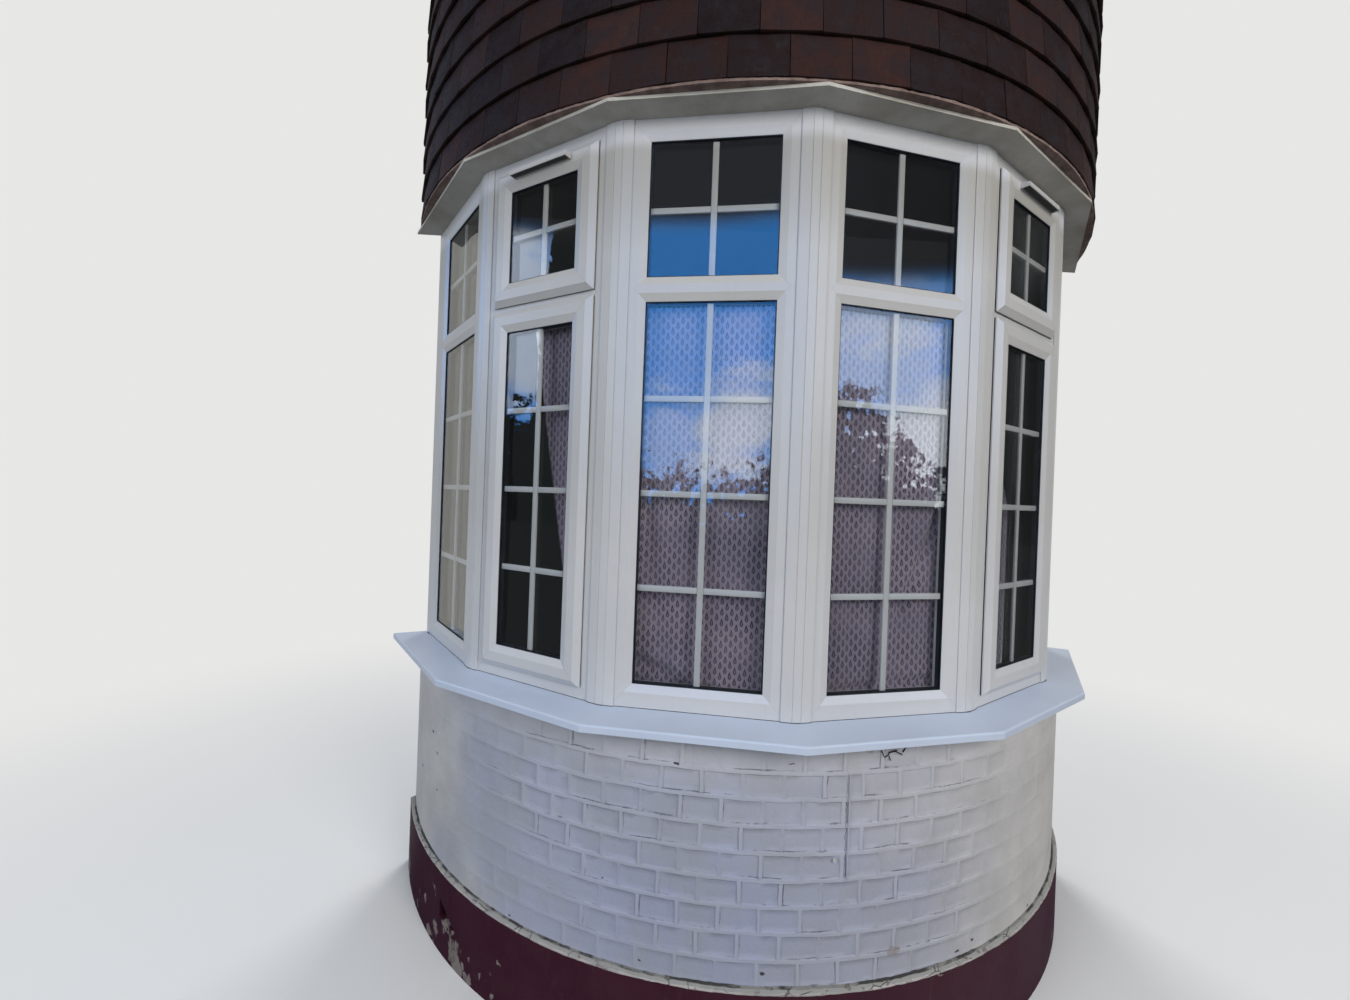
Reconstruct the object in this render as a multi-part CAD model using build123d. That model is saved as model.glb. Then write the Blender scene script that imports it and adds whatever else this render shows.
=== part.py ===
from build123d import *
from math import cos, radians, sin
import os

# A faceted bow window on a curved brick base, under a tile hung apron.
# Millimetres. +Z is up, the street side faces -Y, and the cut at the house wall faces +Y.
# The origin is the middle of the part's footprint, on the ground.

# Plan of the bay
facet_count = 6
facet_length = 590.0
facet_turn = 22.0
wall_return = 20.0

# Heights of the curved base
plinth_height = 280.0
brick_height = 723.0
sill_thickness = 30.0

# Curved base, its face standing off from the corners of the window frames
brick_stand = 25.0
brick_thickness = 216.0
plinth_projection = 21.0
ledge_lip = 4.0
ledge_rise = 28.0
lining_thickness = 13.0
lining_lift = 20.0
board_overhang = 25.0

# Broken vent hole in the plinth
hole_angle = -44.2
hole_bottom = 125.0
hole_height = 67.0
hole_width = 126.0
hole_depth = 95.0

# Sill
sill_projection = 120.0
sill_fall = 14.0
sill_nose = 22.0
nose_round = 6.0
drip_width = 10.0

# Window frames
frame_height = 1788.0
frame_depth = 70.0
frame_setback = 28.6
light_margin = 70.0
head_margin = 73.5
transom_centre = 1267.0
transom_width = 74.0
bevel_width = 24.0
bevel_depth = 8.0
lip_depth = 12.0
glass_cover = 15.0

# Opening sashes, in one facet counted from each end
sash_facet = 2
sash_inset = 44.9
sash_foot = 38.0
sash_head = 48.0
sash_gap = 18.0
sash_gap_lift = 2.0
sash_face = 75.0
sash_proud = 22.0
sash_bevel = 20.0
sash_edge = 4.0
sash_body_depth = 48.0
sash_overlap = 10.0
sash_play = 5.0
seal_thickness = 4.0
seal_width = 7.0
seal_setback = 1.5

# Sealed glass and the beads that hold it
unit_thickness = 24.0
unit_play = 3.0
bead_depth = 20.0
bead_bevel = 8.0

# Posts between the frames and their covers
post_wall = 4.0
cover_half_width = 46.0
cover_flat_half_width = 13.0
cover_thickness = 4.0
flute_width = 3.0
flute_depth = 1.6
inner_cover_half_width = 35.0
inner_cover_thickness = 3.0

# Trickle vents on the top lights
vent_length = 246.0
vent_height = 20.0
vent_projection = 28.0
vent_wall = 3.0
vent_slope = 6.0
vent_lift = 34.0

# Window handles
handle_base_width = 30.0
handle_base_height = 90.0
handle_base_depth = 10.0
handle_neck_radius = 8.0
handle_neck_length = 26.0
handle_lever_width = 20.0
handle_lever_length = 120.0
handle_lever_depth = 12.0
handle_round = 4.0

# Head of the bay
soffit_thickness = 10.0
soffit_setback = 4.0
mortar_thickness = 9.0
mortar_setback = 5.0
plate_height = 95.0
plate_inset = 10.0
apron_stand = 48.0
apron_thickness = 100.0
ceiling_thickness = 12.5

# Tile hanging
tile_stand = 42.0
tile_gauge = 125.0
tile_step = 12.0
tile_courses = 8
deck_thickness = 25.0

# Cloth hung inside the middle lights
rail_height = 12.0
rail_thickness = 6.0
rail_drop = 4.0
cloth_thickness = 10.0
cloth_reach = 0.62

# Fits
seat_gap = 0.3

# Worked out from the sizes above
half_turn = facet_turn / 2
half_sweep = facet_turn * facet_count / 2
vertex_radius = facet_length / 2 / sin(radians(half_turn))
facet_radius = vertex_radius * cos(radians(half_turn))
frame_width = facet_length - 2 * frame_setback
lining_bottom = plinth_height + lining_lift
sill_bottom = plinth_height + brick_height
frame_bottom = sill_bottom + sill_thickness
head_bottom = frame_bottom + frame_height
soffit_bottom = head_bottom - soffit_thickness
plate_top = head_bottom + plate_height
tile_bottom = head_bottom + mortar_thickness
deck_bottom = tile_bottom + tile_courses * tile_gauge
brick_radius = vertex_radius + brick_stand
brick_inner_radius = brick_radius - brick_thickness
plinth_radius = brick_radius + plinth_projection
apron_radius = vertex_radius + apron_stand
apron_inner_radius = apron_radius - apron_thickness
tile_radius = apron_radius + tile_stand
soffit_corner_radius = tile_radius - soffit_setback
nose_radius = (facet_radius + sill_projection) / cos(radians(half_turn))
wall_distance = vertex_radius * cos(radians(half_sweep)) - wall_return
front_reach = max(nose_radius, tile_radius, plinth_radius)
centre_y = (front_reach + wall_distance) / 2
wall_y = centre_y - wall_distance
reach = 2 * front_reach
bay_centre = Pos(0, centre_y, 0)
inner_vertex_radius = (facet_radius - frame_depth) / cos(radians(half_turn))


def facet_place(number):
    """Middle of a facet's outer face: +X to the right seen from outside, +Y into the room."""
    turn = (number - (facet_count + 1) / 2) * facet_turn
    return bay_centre * Rot(0, 0, turn) * Pos(0, -facet_radius, 0)


def vertex_place(number):
    """Corner between two facets, counted from the left end, with +Y along the bisector."""
    turn = (number - facet_count / 2) * facet_turn
    return bay_centre * Rot(0, 0, turn) * Pos(0, -vertex_radius, 0)


def in_front_of_wall():
    """Everything on the street side of the cut at the house wall."""
    top = deck_bottom + deck_thickness
    return Pos(0, wall_y - reach / 2, top / 2) * Box(2 * reach, reach, top)


def circle_area(radius):
    """Plan of a round slab, cut at the house wall."""
    street_side = Pos(0, wall_y - reach / 2) * Rectangle(2 * reach, reach)
    return (Pos(0, centre_y) * Circle(radius)) & street_side


def facet_corners(radius):
    """Corners of a faceted plan, with its end facets run on to the house wall."""
    corners = []
    for number in range(facet_count + 1):
        turn = radians((number - facet_count / 2) * facet_turn)
        corners.append([radius * sin(turn), centre_y - radius * cos(turn)])
    end_turn = radians(half_sweep - half_turn)
    run_on = (wall_y - corners[0][1]) / sin(end_turn)
    corners[0] = [corners[0][0] - run_on * cos(end_turn), wall_y]
    corners[-1] = [-corners[0][0], wall_y]
    return [tuple(corner) for corner in corners]


def facet_area(radius):
    """Plan of a faceted slab, cut at the house wall."""
    return make_face(Polyline(*facet_corners(radius), close=True))


def plan_wedge(*turns):
    """Plan between rays that leave the middle of the bay at these angles from straight ahead."""
    far = [(reach * sin(radians(turn)), centre_y - reach * cos(radians(turn))) for turn in turns]
    return make_face(Polyline((0, centre_y), *far, close=True))


def slab(area, bottom, top):
    """A flat area drawn in plan, raised between two heights."""
    return extrude(Pos(0, 0, bottom) * area, amount=top - bottom)


def curved_wall(inner_radius, outer_radius, bottom, top):
    return slab(circle_area(outer_radius) - circle_area(inner_radius), bottom, top)


def turned_wall(section):
    """A wall that follows the curve, from its section in radius and height."""
    profile = Plane.XZ * make_face(Polyline(*section, close=True))
    return (bay_centre * revolve(profile, Axis.Z)) & in_front_of_wall()


def room_block(width, height, outer, inner, bottom):
    """A block centred across a facet, between two depths measured into the room."""
    place = Pos(0, (outer + inner) / 2, bottom + height / 2)
    return place * Box(width, inner - outer, height)


def bevel_cutter(width, height, face, bottom):
    """The shape cut by a bevelled edge that narrows to an opening of this size."""
    grown = 2 * bevel_width
    wide_plane = Plane((0, face, bottom + height / 2), x_dir=(1, 0, 0), z_dir=(0, 1, 0))
    wide = wide_plane * Rectangle(width + grown, height + grown)
    narrow = wide_plane.offset(bevel_depth) * Rectangle(width, height)
    return loft([wide, narrow])


def glass_opening(width, height, face, back, bottom):
    """Opening for a sealed unit: bevelled outside, with a lip that the glass rests against."""
    cover = 2 * glass_cover
    sight = room_block(width, height, face, back, bottom)
    pocket = room_block(width + cover, height + cover, face + lip_depth, back, bottom - glass_cover)
    return sight + bevel_cutter(width, height, face, bottom) + pocket


def sealed_unit(width, height, face, bottom):
    """A flat sealed glass unit, standing behind the lip of its opening."""
    edge = glass_cover - unit_play
    outer = face + lip_depth + seat_gap
    return room_block(width + 2 * edge, height + 2 * edge, outer, outer + unit_thickness, bottom - edge)


def bead_ring(width, height, face, bottom):
    """The bead that holds a unit from the room side, bevelled towards the glass."""
    edge = glass_cover - seat_gap
    outer = face + lip_depth + unit_thickness + 2 * seat_gap
    block = room_block(width + 2 * edge, height + 2 * edge, outer, outer + bead_depth, bottom - edge)
    ring = block - room_block(width, height, outer, outer + bead_depth, bottom)
    sight_edges = ring.edges().filter_by_position(Axis.Y, outer + bead_depth, outer + bead_depth)
    inner_edges = [edge for edge in sight_edges if abs(edge.center().X) <= width / 2
                   and bottom <= edge.center().Z <= bottom + height]
    return chamfer(inner_edges, bead_bevel)


# The curved base

def plinth():
    """Rendered base of the wall, with a hole broken through its outer skin."""
    ring = curved_wall(brick_inner_radius, plinth_radius, 0, plinth_height)
    half = hole_width / 2
    outline = Polyline((-half, 0), (half, 0), (-half, hole_height), close=True)
    hole = extrude(Plane.XZ * make_face(outline), amount=hole_depth, both=True)
    place = bay_centre * Rot(0, 0, hole_angle) * Pos(0, -plinth_radius, hole_bottom)
    return ring - place * hole


def plinth_ledge():
    """Sloped mortar on the step between the plinth and the brickwork."""
    foot = plinth_height + seat_gap
    face = brick_radius + seat_gap
    return turned_wall([(face, foot), (plinth_radius, foot), (plinth_radius, foot + ledge_lip),
                        (face, foot + ledge_rise)])


def brick_wall():
    return curved_wall(brick_inner_radius, brick_radius, plinth_height, sill_bottom)


def wall_lining():
    """Plaster on the room side of the brickwork."""
    outer = brick_inner_radius - seat_gap
    return curved_wall(outer - lining_thickness, outer, lining_bottom, sill_bottom)


def window_board():
    """Board on top of the wall, from the frames to a rounded overhang in the room."""
    inner_radius = brick_inner_radius - lining_thickness - board_overhang
    area = facet_area(inner_vertex_radius - seat_gap) - circle_area(inner_radius)
    return slab(area, sill_bottom, frame_bottom)


# The sill

def sill_section():
    """Section of the sill, drawn as depth into the room and height."""
    nose_top = sill_thickness - sill_fall
    outline = Polyline((frame_depth, 0), (frame_depth, sill_thickness), (0, sill_thickness),
                       (-sill_projection, nose_top), (-sill_projection, nose_top - sill_nose),
                       (drip_width - sill_projection, nose_top - sill_nose),
                       (drip_width - sill_projection, 0), close=True)
    face = make_face(outline)
    nose_corner = face.vertices().sort_by(Axis.X)[:2].sort_by(Axis.Y)[-1]
    return fillet(nose_corner, nose_round)


def sill_length(number):
    """One length of sill, mitred to its neighbours and cut square at the house wall."""
    first = -half_sweep + (number - 1) * facet_turn
    last = first + facet_turn
    if number == 1:
        first -= facet_turn
    if number == facet_count:
        last += facet_turn
    wedge = slab(plan_wedge(first, last), 0, head_bottom)
    across = Plane((0, 0, sill_bottom), x_dir=(0, 1, 0), z_dir=(1, 0, 0))
    bar = extrude(across * sill_section(), amount=facet_length, both=True)
    return (facet_place(number) * bar) & wedge & in_front_of_wall()


# Windows

def light_width():
    return frame_width - 2 * light_margin


def fixed_lights():
    """Height above the frame's foot and size of the two fixed lights, lower one first."""
    lower_top = transom_centre - transom_width / 2
    upper_bottom = transom_centre + transom_width / 2
    upper_top = frame_height - head_margin
    return [(light_margin, lower_top - light_margin), (upper_bottom, upper_top - upper_bottom)]


def sash_width():
    return frame_width - 2 * sash_inset


def sash_sizes():
    """Height above the frame's foot and size of the side hung and the top hung sash."""
    lower_top = transom_centre + sash_gap_lift - sash_gap / 2
    upper_bottom = lower_top + sash_gap
    return [(sash_foot, lower_top - sash_foot), (upper_bottom, frame_height - sash_head - upper_bottom)]


def frame_blank():
    return room_block(frame_width, frame_height, 0, frame_depth, frame_bottom)


def fixed_frame():
    """Frame with a transom and two lights glazed straight into it."""
    frame = frame_blank()
    for foot, height in fixed_lights():
        frame -= glass_opening(light_width(), height, 0, frame_depth, frame_bottom + foot)
    return frame


def opening_frame():
    """Frame with a transom and two openings that the sashes lap over."""
    frame = frame_blank()
    lap = 2 * sash_overlap
    for foot, height in sash_sizes():
        bottom = frame_bottom + foot + sash_overlap
        frame -= room_block(sash_width() - lap, height - lap, 0, frame_depth, bottom)
    return frame


def sash_light(size):
    """Width, height and foot of the glass seen in a sash."""
    foot, height = size
    return sash_width() - 2 * sash_face, height - 2 * sash_face, frame_bottom + foot + sash_face


def sash(size):
    """A sash whose bevelled flange laps over the frame and whose body stands inside it."""
    foot, height = size
    bottom = frame_bottom + foot
    flange = room_block(sash_width(), height, -sash_proud, -seal_thickness, bottom)
    front = flange.faces().sort_by(Axis.Y)[0]
    bevel_reach = sash_proud - seal_thickness - sash_edge
    flange = chamfer(flange.edges().group_by(Axis.Y)[0], sash_bevel, bevel_reach, reference=front)
    inset = sash_overlap + sash_play
    body_width = sash_width() - 2 * inset
    body = room_block(body_width, height - 2 * inset, -seal_thickness, sash_body_depth, bottom + inset)
    width, light_height, light_bottom = sash_light(size)
    return flange + body - glass_opening(width, light_height, -sash_proud, sash_body_depth, light_bottom)


def sash_seal(size):
    """Flexible seal pressed between the flange of a sash and its frame."""
    foot, height = size
    outer_bottom = frame_bottom + foot + seal_setback
    width = sash_width() - 2 * seal_setback
    outer = room_block(width, height - 2 * seal_setback, -seal_thickness, 0, outer_bottom)
    cut_height = height - 2 * seal_setback - 2 * seal_width
    cut_bottom = outer_bottom + seal_width
    return outer - room_block(width - 2 * seal_width, cut_height, -seal_thickness, 0, cut_bottom)


def fixed_glass():
    units = []
    beads = []
    for foot, height in fixed_lights():
        units.append(sealed_unit(light_width(), height, 0, frame_bottom + foot))
        beads.append(bead_ring(light_width(), height, 0, frame_bottom + foot))
    return units, beads


def sash_glass():
    units = []
    beads = []
    for size in sash_sizes():
        width, height, bottom = sash_light(size)
        units.append(sealed_unit(width, height, -sash_proud, bottom))
        beads.append(bead_ring(width, height, -sash_proud, bottom))
    return units, beads


def vent():
    """Hood of a trickle vent, open underneath, on the top rail of a top light."""
    foot, height = sash_sizes()[1]
    bottom = frame_bottom + foot + height - sash_face + vent_lift
    outline = Polyline((0, 0), (-vent_projection, 0), (-vent_projection, vent_height - vent_slope),
                       (0, vent_height), close=True)
    mouth = Polyline((-vent_wall, 0), (vent_wall - vent_projection, 0),
                     (vent_wall - vent_projection, vent_height - vent_slope - vent_wall),
                     (-vent_wall, vent_height - vent_slope - vent_wall), close=True)
    across = Plane((0, -sash_proud, bottom), x_dir=(0, 1, 0), z_dir=(1, 0, 0))
    hood = extrude(across * make_face(outline), amount=vent_length / 2, both=True)
    hollow = extrude(across * make_face(mouth), amount=vent_length / 2 - vent_wall, both=True)
    return hood - hollow


def handle(turned):
    """A window handle, drawn with its base on the plane y = 0 and its lever towards the room."""
    base = Pos(0, handle_base_depth / 2, 0) * Box(handle_base_width, handle_base_depth, handle_base_height)
    base = fillet(base.edges().filter_by(Axis.Y), handle_round)
    neck_reach = handle_base_depth + handle_neck_length
    neck = Pos(0, neck_reach / 2, 0) * Rot(90, 0, 0) * Cylinder(handle_neck_radius, neck_reach)
    lever_y = neck_reach - handle_lever_depth / 2
    lever = Box(handle_lever_width, handle_lever_depth, handle_lever_length)
    lever = fillet(lever.edges().filter_by(Axis.Y), handle_round)
    lever_place = Pos(0, lever_y, handle_neck_radius - handle_lever_length / 2)
    return Rot(0, turned, 0) * (base + neck + lever_place * lever)


def sash_handles(side):
    """Handles of a side hung sash, on its stile to one side, and of the top hung sash above it."""
    lower, upper = sash_sizes()
    stile = (sash_width() - sash_face - sash_overlap - sash_play) / 2
    side_place = Pos(side * stile, sash_body_depth, frame_bottom + lower[0] + lower[1] / 2)
    rail = (sash_face + sash_overlap + sash_play) / 2
    top_place = Pos(0, sash_body_depth, frame_bottom + upper[0] + rail)
    return [side_place * handle(0), top_place * handle(-side * 90)]


# Posts between the frames

def facet_point(along, outward, side):
    """Point by its run from a corner along one facet and its stand off from the outer face."""
    turn = radians(half_turn)
    return side * (along * cos(turn) + outward * sin(turn)), along * sin(turn) - outward * cos(turn)


def bay_post(number):
    """Hollow post that fills the wedge between two frames and carries the head."""
    outer = facet_point(frame_setback - seat_gap, 0, 1)
    inner = facet_point(frame_setback - seat_gap, -frame_depth, 1)
    inner_middle = frame_depth / cos(radians(half_turn)) - seat_gap
    outline = Polyline((0, seat_gap), outer, inner, (0, inner_middle), (-inner[0], inner[1]),
                       (-outer[0], outer[1]), close=True)
    area = make_face(outline)
    area -= offset(area, -post_wall)
    return vertex_place(number) * slab(area, frame_bottom, head_bottom)


def post_cover(number):
    """Fluted cover over the outer joint of two frames: a flat face between two grooved wings."""
    half_flute = flute_width / 2
    wing = [(cover_half_width, 0),
            (cover_half_width, cover_thickness - flute_depth / 2),
            (cover_half_width - flute_width, cover_thickness),
            (cover_flat_half_width + half_flute, cover_thickness),
            (cover_flat_half_width, cover_thickness - flute_depth),
            (cover_flat_half_width - half_flute, cover_thickness)]
    right = [facet_point(along, outward, 1) for along, outward in wing]
    left = [facet_point(along, outward, -1) for along, outward in reversed(wing)]
    area = make_face(Polyline((0, 0), *right, *left, close=True))
    return vertex_place(number) * slab(area, frame_bottom, soffit_bottom)


def inner_cover(number):
    """Plain cover over the joint of two frames on the room side."""
    inner_back = frame_depth / cos(radians(half_turn))
    right = [facet_point(inner_cover_half_width, 0, 1),
             facet_point(inner_cover_half_width, -inner_cover_thickness, 1)]
    left = [(-x, y) for x, y in reversed(right)]
    middle = facet_point(0, -inner_cover_thickness, 1)
    outline = Polyline((0, 0), right[0], right[1], (0, middle[1]), left[0], left[1], close=True)
    strip = slab(make_face(outline), frame_bottom, head_bottom)
    return vertex_place(number) * Pos(0, inner_back, 0) * strip


def end_post(side):
    """Solid packer between the end frame and the house wall."""
    number = 1 if side < 0 else facet_count
    half = facet_length / 2
    run = frame_setback - seat_gap
    block = Pos(side * half, frame_depth / 2, 0) * Box(2 * run, frame_depth, frame_height)
    block = facet_place(number) * Pos(0, 0, frame_bottom + frame_height / 2) * block
    return block & in_front_of_wall()


# Head of the bay

def soffit_board():
    """Faceted board under the tile hanging, from the frames out to the mortar."""
    area = facet_area(soffit_corner_radius) - facet_area(vertex_radius + seat_gap)
    return slab(area, soffit_bottom, head_bottom)


def mortar_bed():
    """Mortar between the soffit board and the lowest tiles."""
    return curved_wall(apron_radius + seat_gap, tile_radius - mortar_setback, head_bottom, tile_bottom)


def head_plate():
    """Timber ring on top of the frames and posts that carries the apron wall."""
    area = circle_area(apron_radius) - facet_area(inner_vertex_radius - plate_inset)
    return slab(area, head_bottom, plate_top)


def apron_wall():
    return curved_wall(apron_inner_radius, apron_radius, plate_top, deck_bottom)


def ceiling_board():
    """Ceiling inside the bay, laid on the inner edge of the head plate."""
    return slab(circle_area(apron_inner_radius - seat_gap), plate_top, plate_top + ceiling_thickness)


def tile_hanging():
    """Courses of hung tiles, each standing proud of the one below at its foot."""
    back = apron_radius + seat_gap
    section = [(back, tile_bottom)]
    for course in range(tile_courses):
        foot = tile_bottom + course * tile_gauge
        section.append((tile_radius, foot))
        section.append((tile_radius - tile_step, foot + tile_gauge))
    section.append((back, deck_bottom))
    return turned_wall(section)


def top_deck():
    """Boarding that closes the top of the apron."""
    return slab(circle_area(tile_radius - tile_step), deck_bottom, deck_bottom + deck_thickness)


# Cloth hung inside the middle lights

def cloth_strip(outer_depth, thickness, bottom, top):
    """A thin strip that follows the room side of the four middle facets, part way over the outer two."""
    outer = (facet_radius - outer_depth) / cos(radians(half_turn))
    inner = (facet_radius - outer_depth - thickness) / cos(radians(half_turn))
    area = facet_area(outer) - facet_area(inner)
    sweep = (1 + cloth_reach) * facet_turn
    return slab(area & plan_wedge(-sweep, 0, sweep), bottom, top)


def cloth_rail():
    """Flat rail across the covers behind the transoms."""
    depth = frame_depth + inner_cover_thickness + seat_gap
    top = frame_bottom + transom_centre - rail_drop
    return cloth_strip(depth, rail_thickness, top - rail_height, top)


def window_cloth():
    """Thin hanging cloth, plain here, from the rail down to the window board."""
    depth = frame_depth + inner_cover_thickness + seat_gap
    top = frame_bottom + transom_centre - rail_drop - rail_height - seat_gap
    return cloth_strip(depth, cloth_thickness, frame_bottom + seat_gap, top)


def build_parts():
    parts = {
        "plinth": plinth(),
        "plinth_ledge": plinth_ledge(),
        "brick_wall": brick_wall(),
        "wall_lining": wall_lining(),
        "window_board": window_board(),
        "bay_posts": [bay_post(number) for number in range(1, facet_count)],
        "inner_post_covers": [inner_cover(number) for number in range(1, facet_count)],
        "end_post_left": end_post(-1),
        "end_post_right": end_post(1),
        "soffit_board": soffit_board(),
        "mortar_bed": mortar_bed(),
        "head_plate": head_plate(),
        "apron_wall": apron_wall(),
        "ceiling_board": ceiling_board(),
        "tile_hanging": tile_hanging(),
        "top_deck": top_deck(),
        "cloth_rail": cloth_rail(),
        "window_cloth": window_cloth(),
    }
    for number in range(1, facet_count):
        parts[f"post_cover_{number}"] = post_cover(number)
    opening_facets = {sash_facet: -1, facet_count + 1 - sash_facet: 1}
    beads = []
    seals = []
    handles = []
    for number in range(1, facet_count + 1):
        place = facet_place(number)
        parts[f"sill_{number}"] = sill_length(number)
        if number in opening_facets:
            parts[f"frame_{number}"] = place * opening_frame()
            lower, upper = sash_sizes()
            parts[f"casement_sash_{number}"] = place * sash(lower)
            parts[f"fanlight_sash_{number}"] = place * sash(upper)
            parts[f"trickle_vent_{number}"] = place * vent()
            seals += [place * sash_seal(size) for size in (lower, upper)]
            handles += [place * lever for lever in sash_handles(opening_facets[number])]
            units, rings = sash_glass()
        else:
            parts[f"frame_{number}"] = place * fixed_frame()
            units, rings = fixed_glass()
        parts[f"glazing_{number}"] = [place * unit for unit in units]
        beads += [place * ring for ring in rings]
    parts["glazing_beads"] = beads
    parts["sash_seals"] = seals
    parts["window_handles"] = handles
    return parts


def write_parts(parts):
    os.makedirs("parts", exist_ok=True)
    for name, shape in parts.items():
        solids = ShapeList(shape if isinstance(shape, list) else [shape])
        body = Compound(children=[solid for item in solids for solid in item.solids()])
        export_step(body, f"parts/{name}.step")


write_parts(build_parts())
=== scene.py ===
import math
import random
from contextlib import contextmanager
from functools import partialmethod, reduce

import bmesh
import bpy
import numpy as np
from bpy.props import FloatProperty, FloatVectorProperty, IntProperty, PointerProperty
from bpy.types import Operator, Panel, PropertyGroup
from mathutils import Matrix, Vector


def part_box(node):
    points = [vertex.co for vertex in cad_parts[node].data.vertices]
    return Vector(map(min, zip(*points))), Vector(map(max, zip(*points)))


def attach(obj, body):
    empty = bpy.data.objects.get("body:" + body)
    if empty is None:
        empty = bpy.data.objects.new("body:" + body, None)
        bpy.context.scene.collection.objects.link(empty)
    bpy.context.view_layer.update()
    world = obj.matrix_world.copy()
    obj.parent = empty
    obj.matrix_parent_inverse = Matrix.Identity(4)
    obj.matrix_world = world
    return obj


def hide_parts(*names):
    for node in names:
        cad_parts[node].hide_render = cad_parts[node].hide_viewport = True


bl_info = {
    "name": "Bay window finishes",
    "version": (1, 0, 0),
    "blender": (4, 5, 0),
    "location": "3D View > Sidebar > Bay window",
    "description": "Brickwork, tiles, glass, cloth and finishes of a faceted bay window",
    "category": "Object",
}

# The street side faces -Y, and +Z is up. Lengths are metres.
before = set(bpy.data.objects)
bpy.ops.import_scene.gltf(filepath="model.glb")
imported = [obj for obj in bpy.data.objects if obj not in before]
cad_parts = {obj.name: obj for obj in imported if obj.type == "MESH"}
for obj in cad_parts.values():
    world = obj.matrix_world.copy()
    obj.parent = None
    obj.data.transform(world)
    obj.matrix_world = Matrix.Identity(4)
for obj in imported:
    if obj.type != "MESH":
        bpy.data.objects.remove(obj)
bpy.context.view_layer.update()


# Sizes and finishes that a user would change

def length(name, text, default):
    return FloatProperty(name=name, description=text, default=default, unit="LENGTH", subtype="DISTANCE")


def angle(name, text, degrees):
    return FloatProperty(name=name, description=text, default=math.radians(degrees),
                         unit="ROTATION", subtype="ANGLE")


def colour(name, text, red, green, blue):
    return FloatVectorProperty(name=name, description=text, default=(red, green, blue), size=3,
                               min=0.0, max=1.0, subtype="COLOR")


class BaySizes(PropertyGroup):
    facet_count: IntProperty(name="Facets", description="Windows round the bay", default=6, min=3)
    facet_length: length("Facet length", "Width of one facet at its outer face", 0.590)
    facet_turn: angle("Facet turn", "Turn from one facet to the next", 22.0)
    course: length("Brick course", "Height of a brick course with its joint", 0.077)
    first_joint: length("First joint", "Height of the lowest bed joint", 0.283)
    header: length("Header", "Width of a header brick with its joint", 0.118)
    joint_width: length("Joint width", "Width of the raised joints", 0.010)
    joint_slope: length("Joint slope", "Width of the sloped sides of a joint", 0.003)
    first_perpend: angle("First upright joint", "From the front to an upright joint of even courses", 0.9)
    joint_stand: length("Joint stand", "How far the joints stand out from the bricks", 0.0042)
    ledge_lump: length("Ledge lumps", "Height of the lumps in the mortar ledge", 0.0035)
    tile_width: length("Tile width", "Spacing of the hung tiles", 0.172)
    tile_gauge: length("Tile gauge", "Height between two courses of tiles", 0.125)
    tile_length: length("Tile length", "Length of a tile that is modelled", 0.165)
    tile_thickness: length("Tile thickness", "Thickness of a tile", 0.011)
    tile_tilt: angle("Tile tilt", "How far the tiles lean out at their feet", 5.5)
    pane: length("Pane", "Thickness of one pane", 0.004)
    cavity: length("Cavity", "Gap between the two panes", 0.016)
    bar_width: length("Bar width", "Width of the white bars inside the glass", 0.019)
    bar_depth: length("Bar depth", "Depth of the white bars inside the glass", 0.008)
    cloth_reach: FloatProperty(name="Cloth reach", description="Share of the outer facets that the cloth covers",
                               default=0.62, min=0.0, max=1.0, subtype="FACTOR")
    cloth_fold: length("Cloth fold", "How deep the folds of the cloth are", 0.008)
    motif_width: length("Motif width", "Spacing of the columns of drops printed on the cloth", 0.0155)
    motif_height: length("Motif height", "Spacing of the drops in one column", 0.033)


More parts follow.
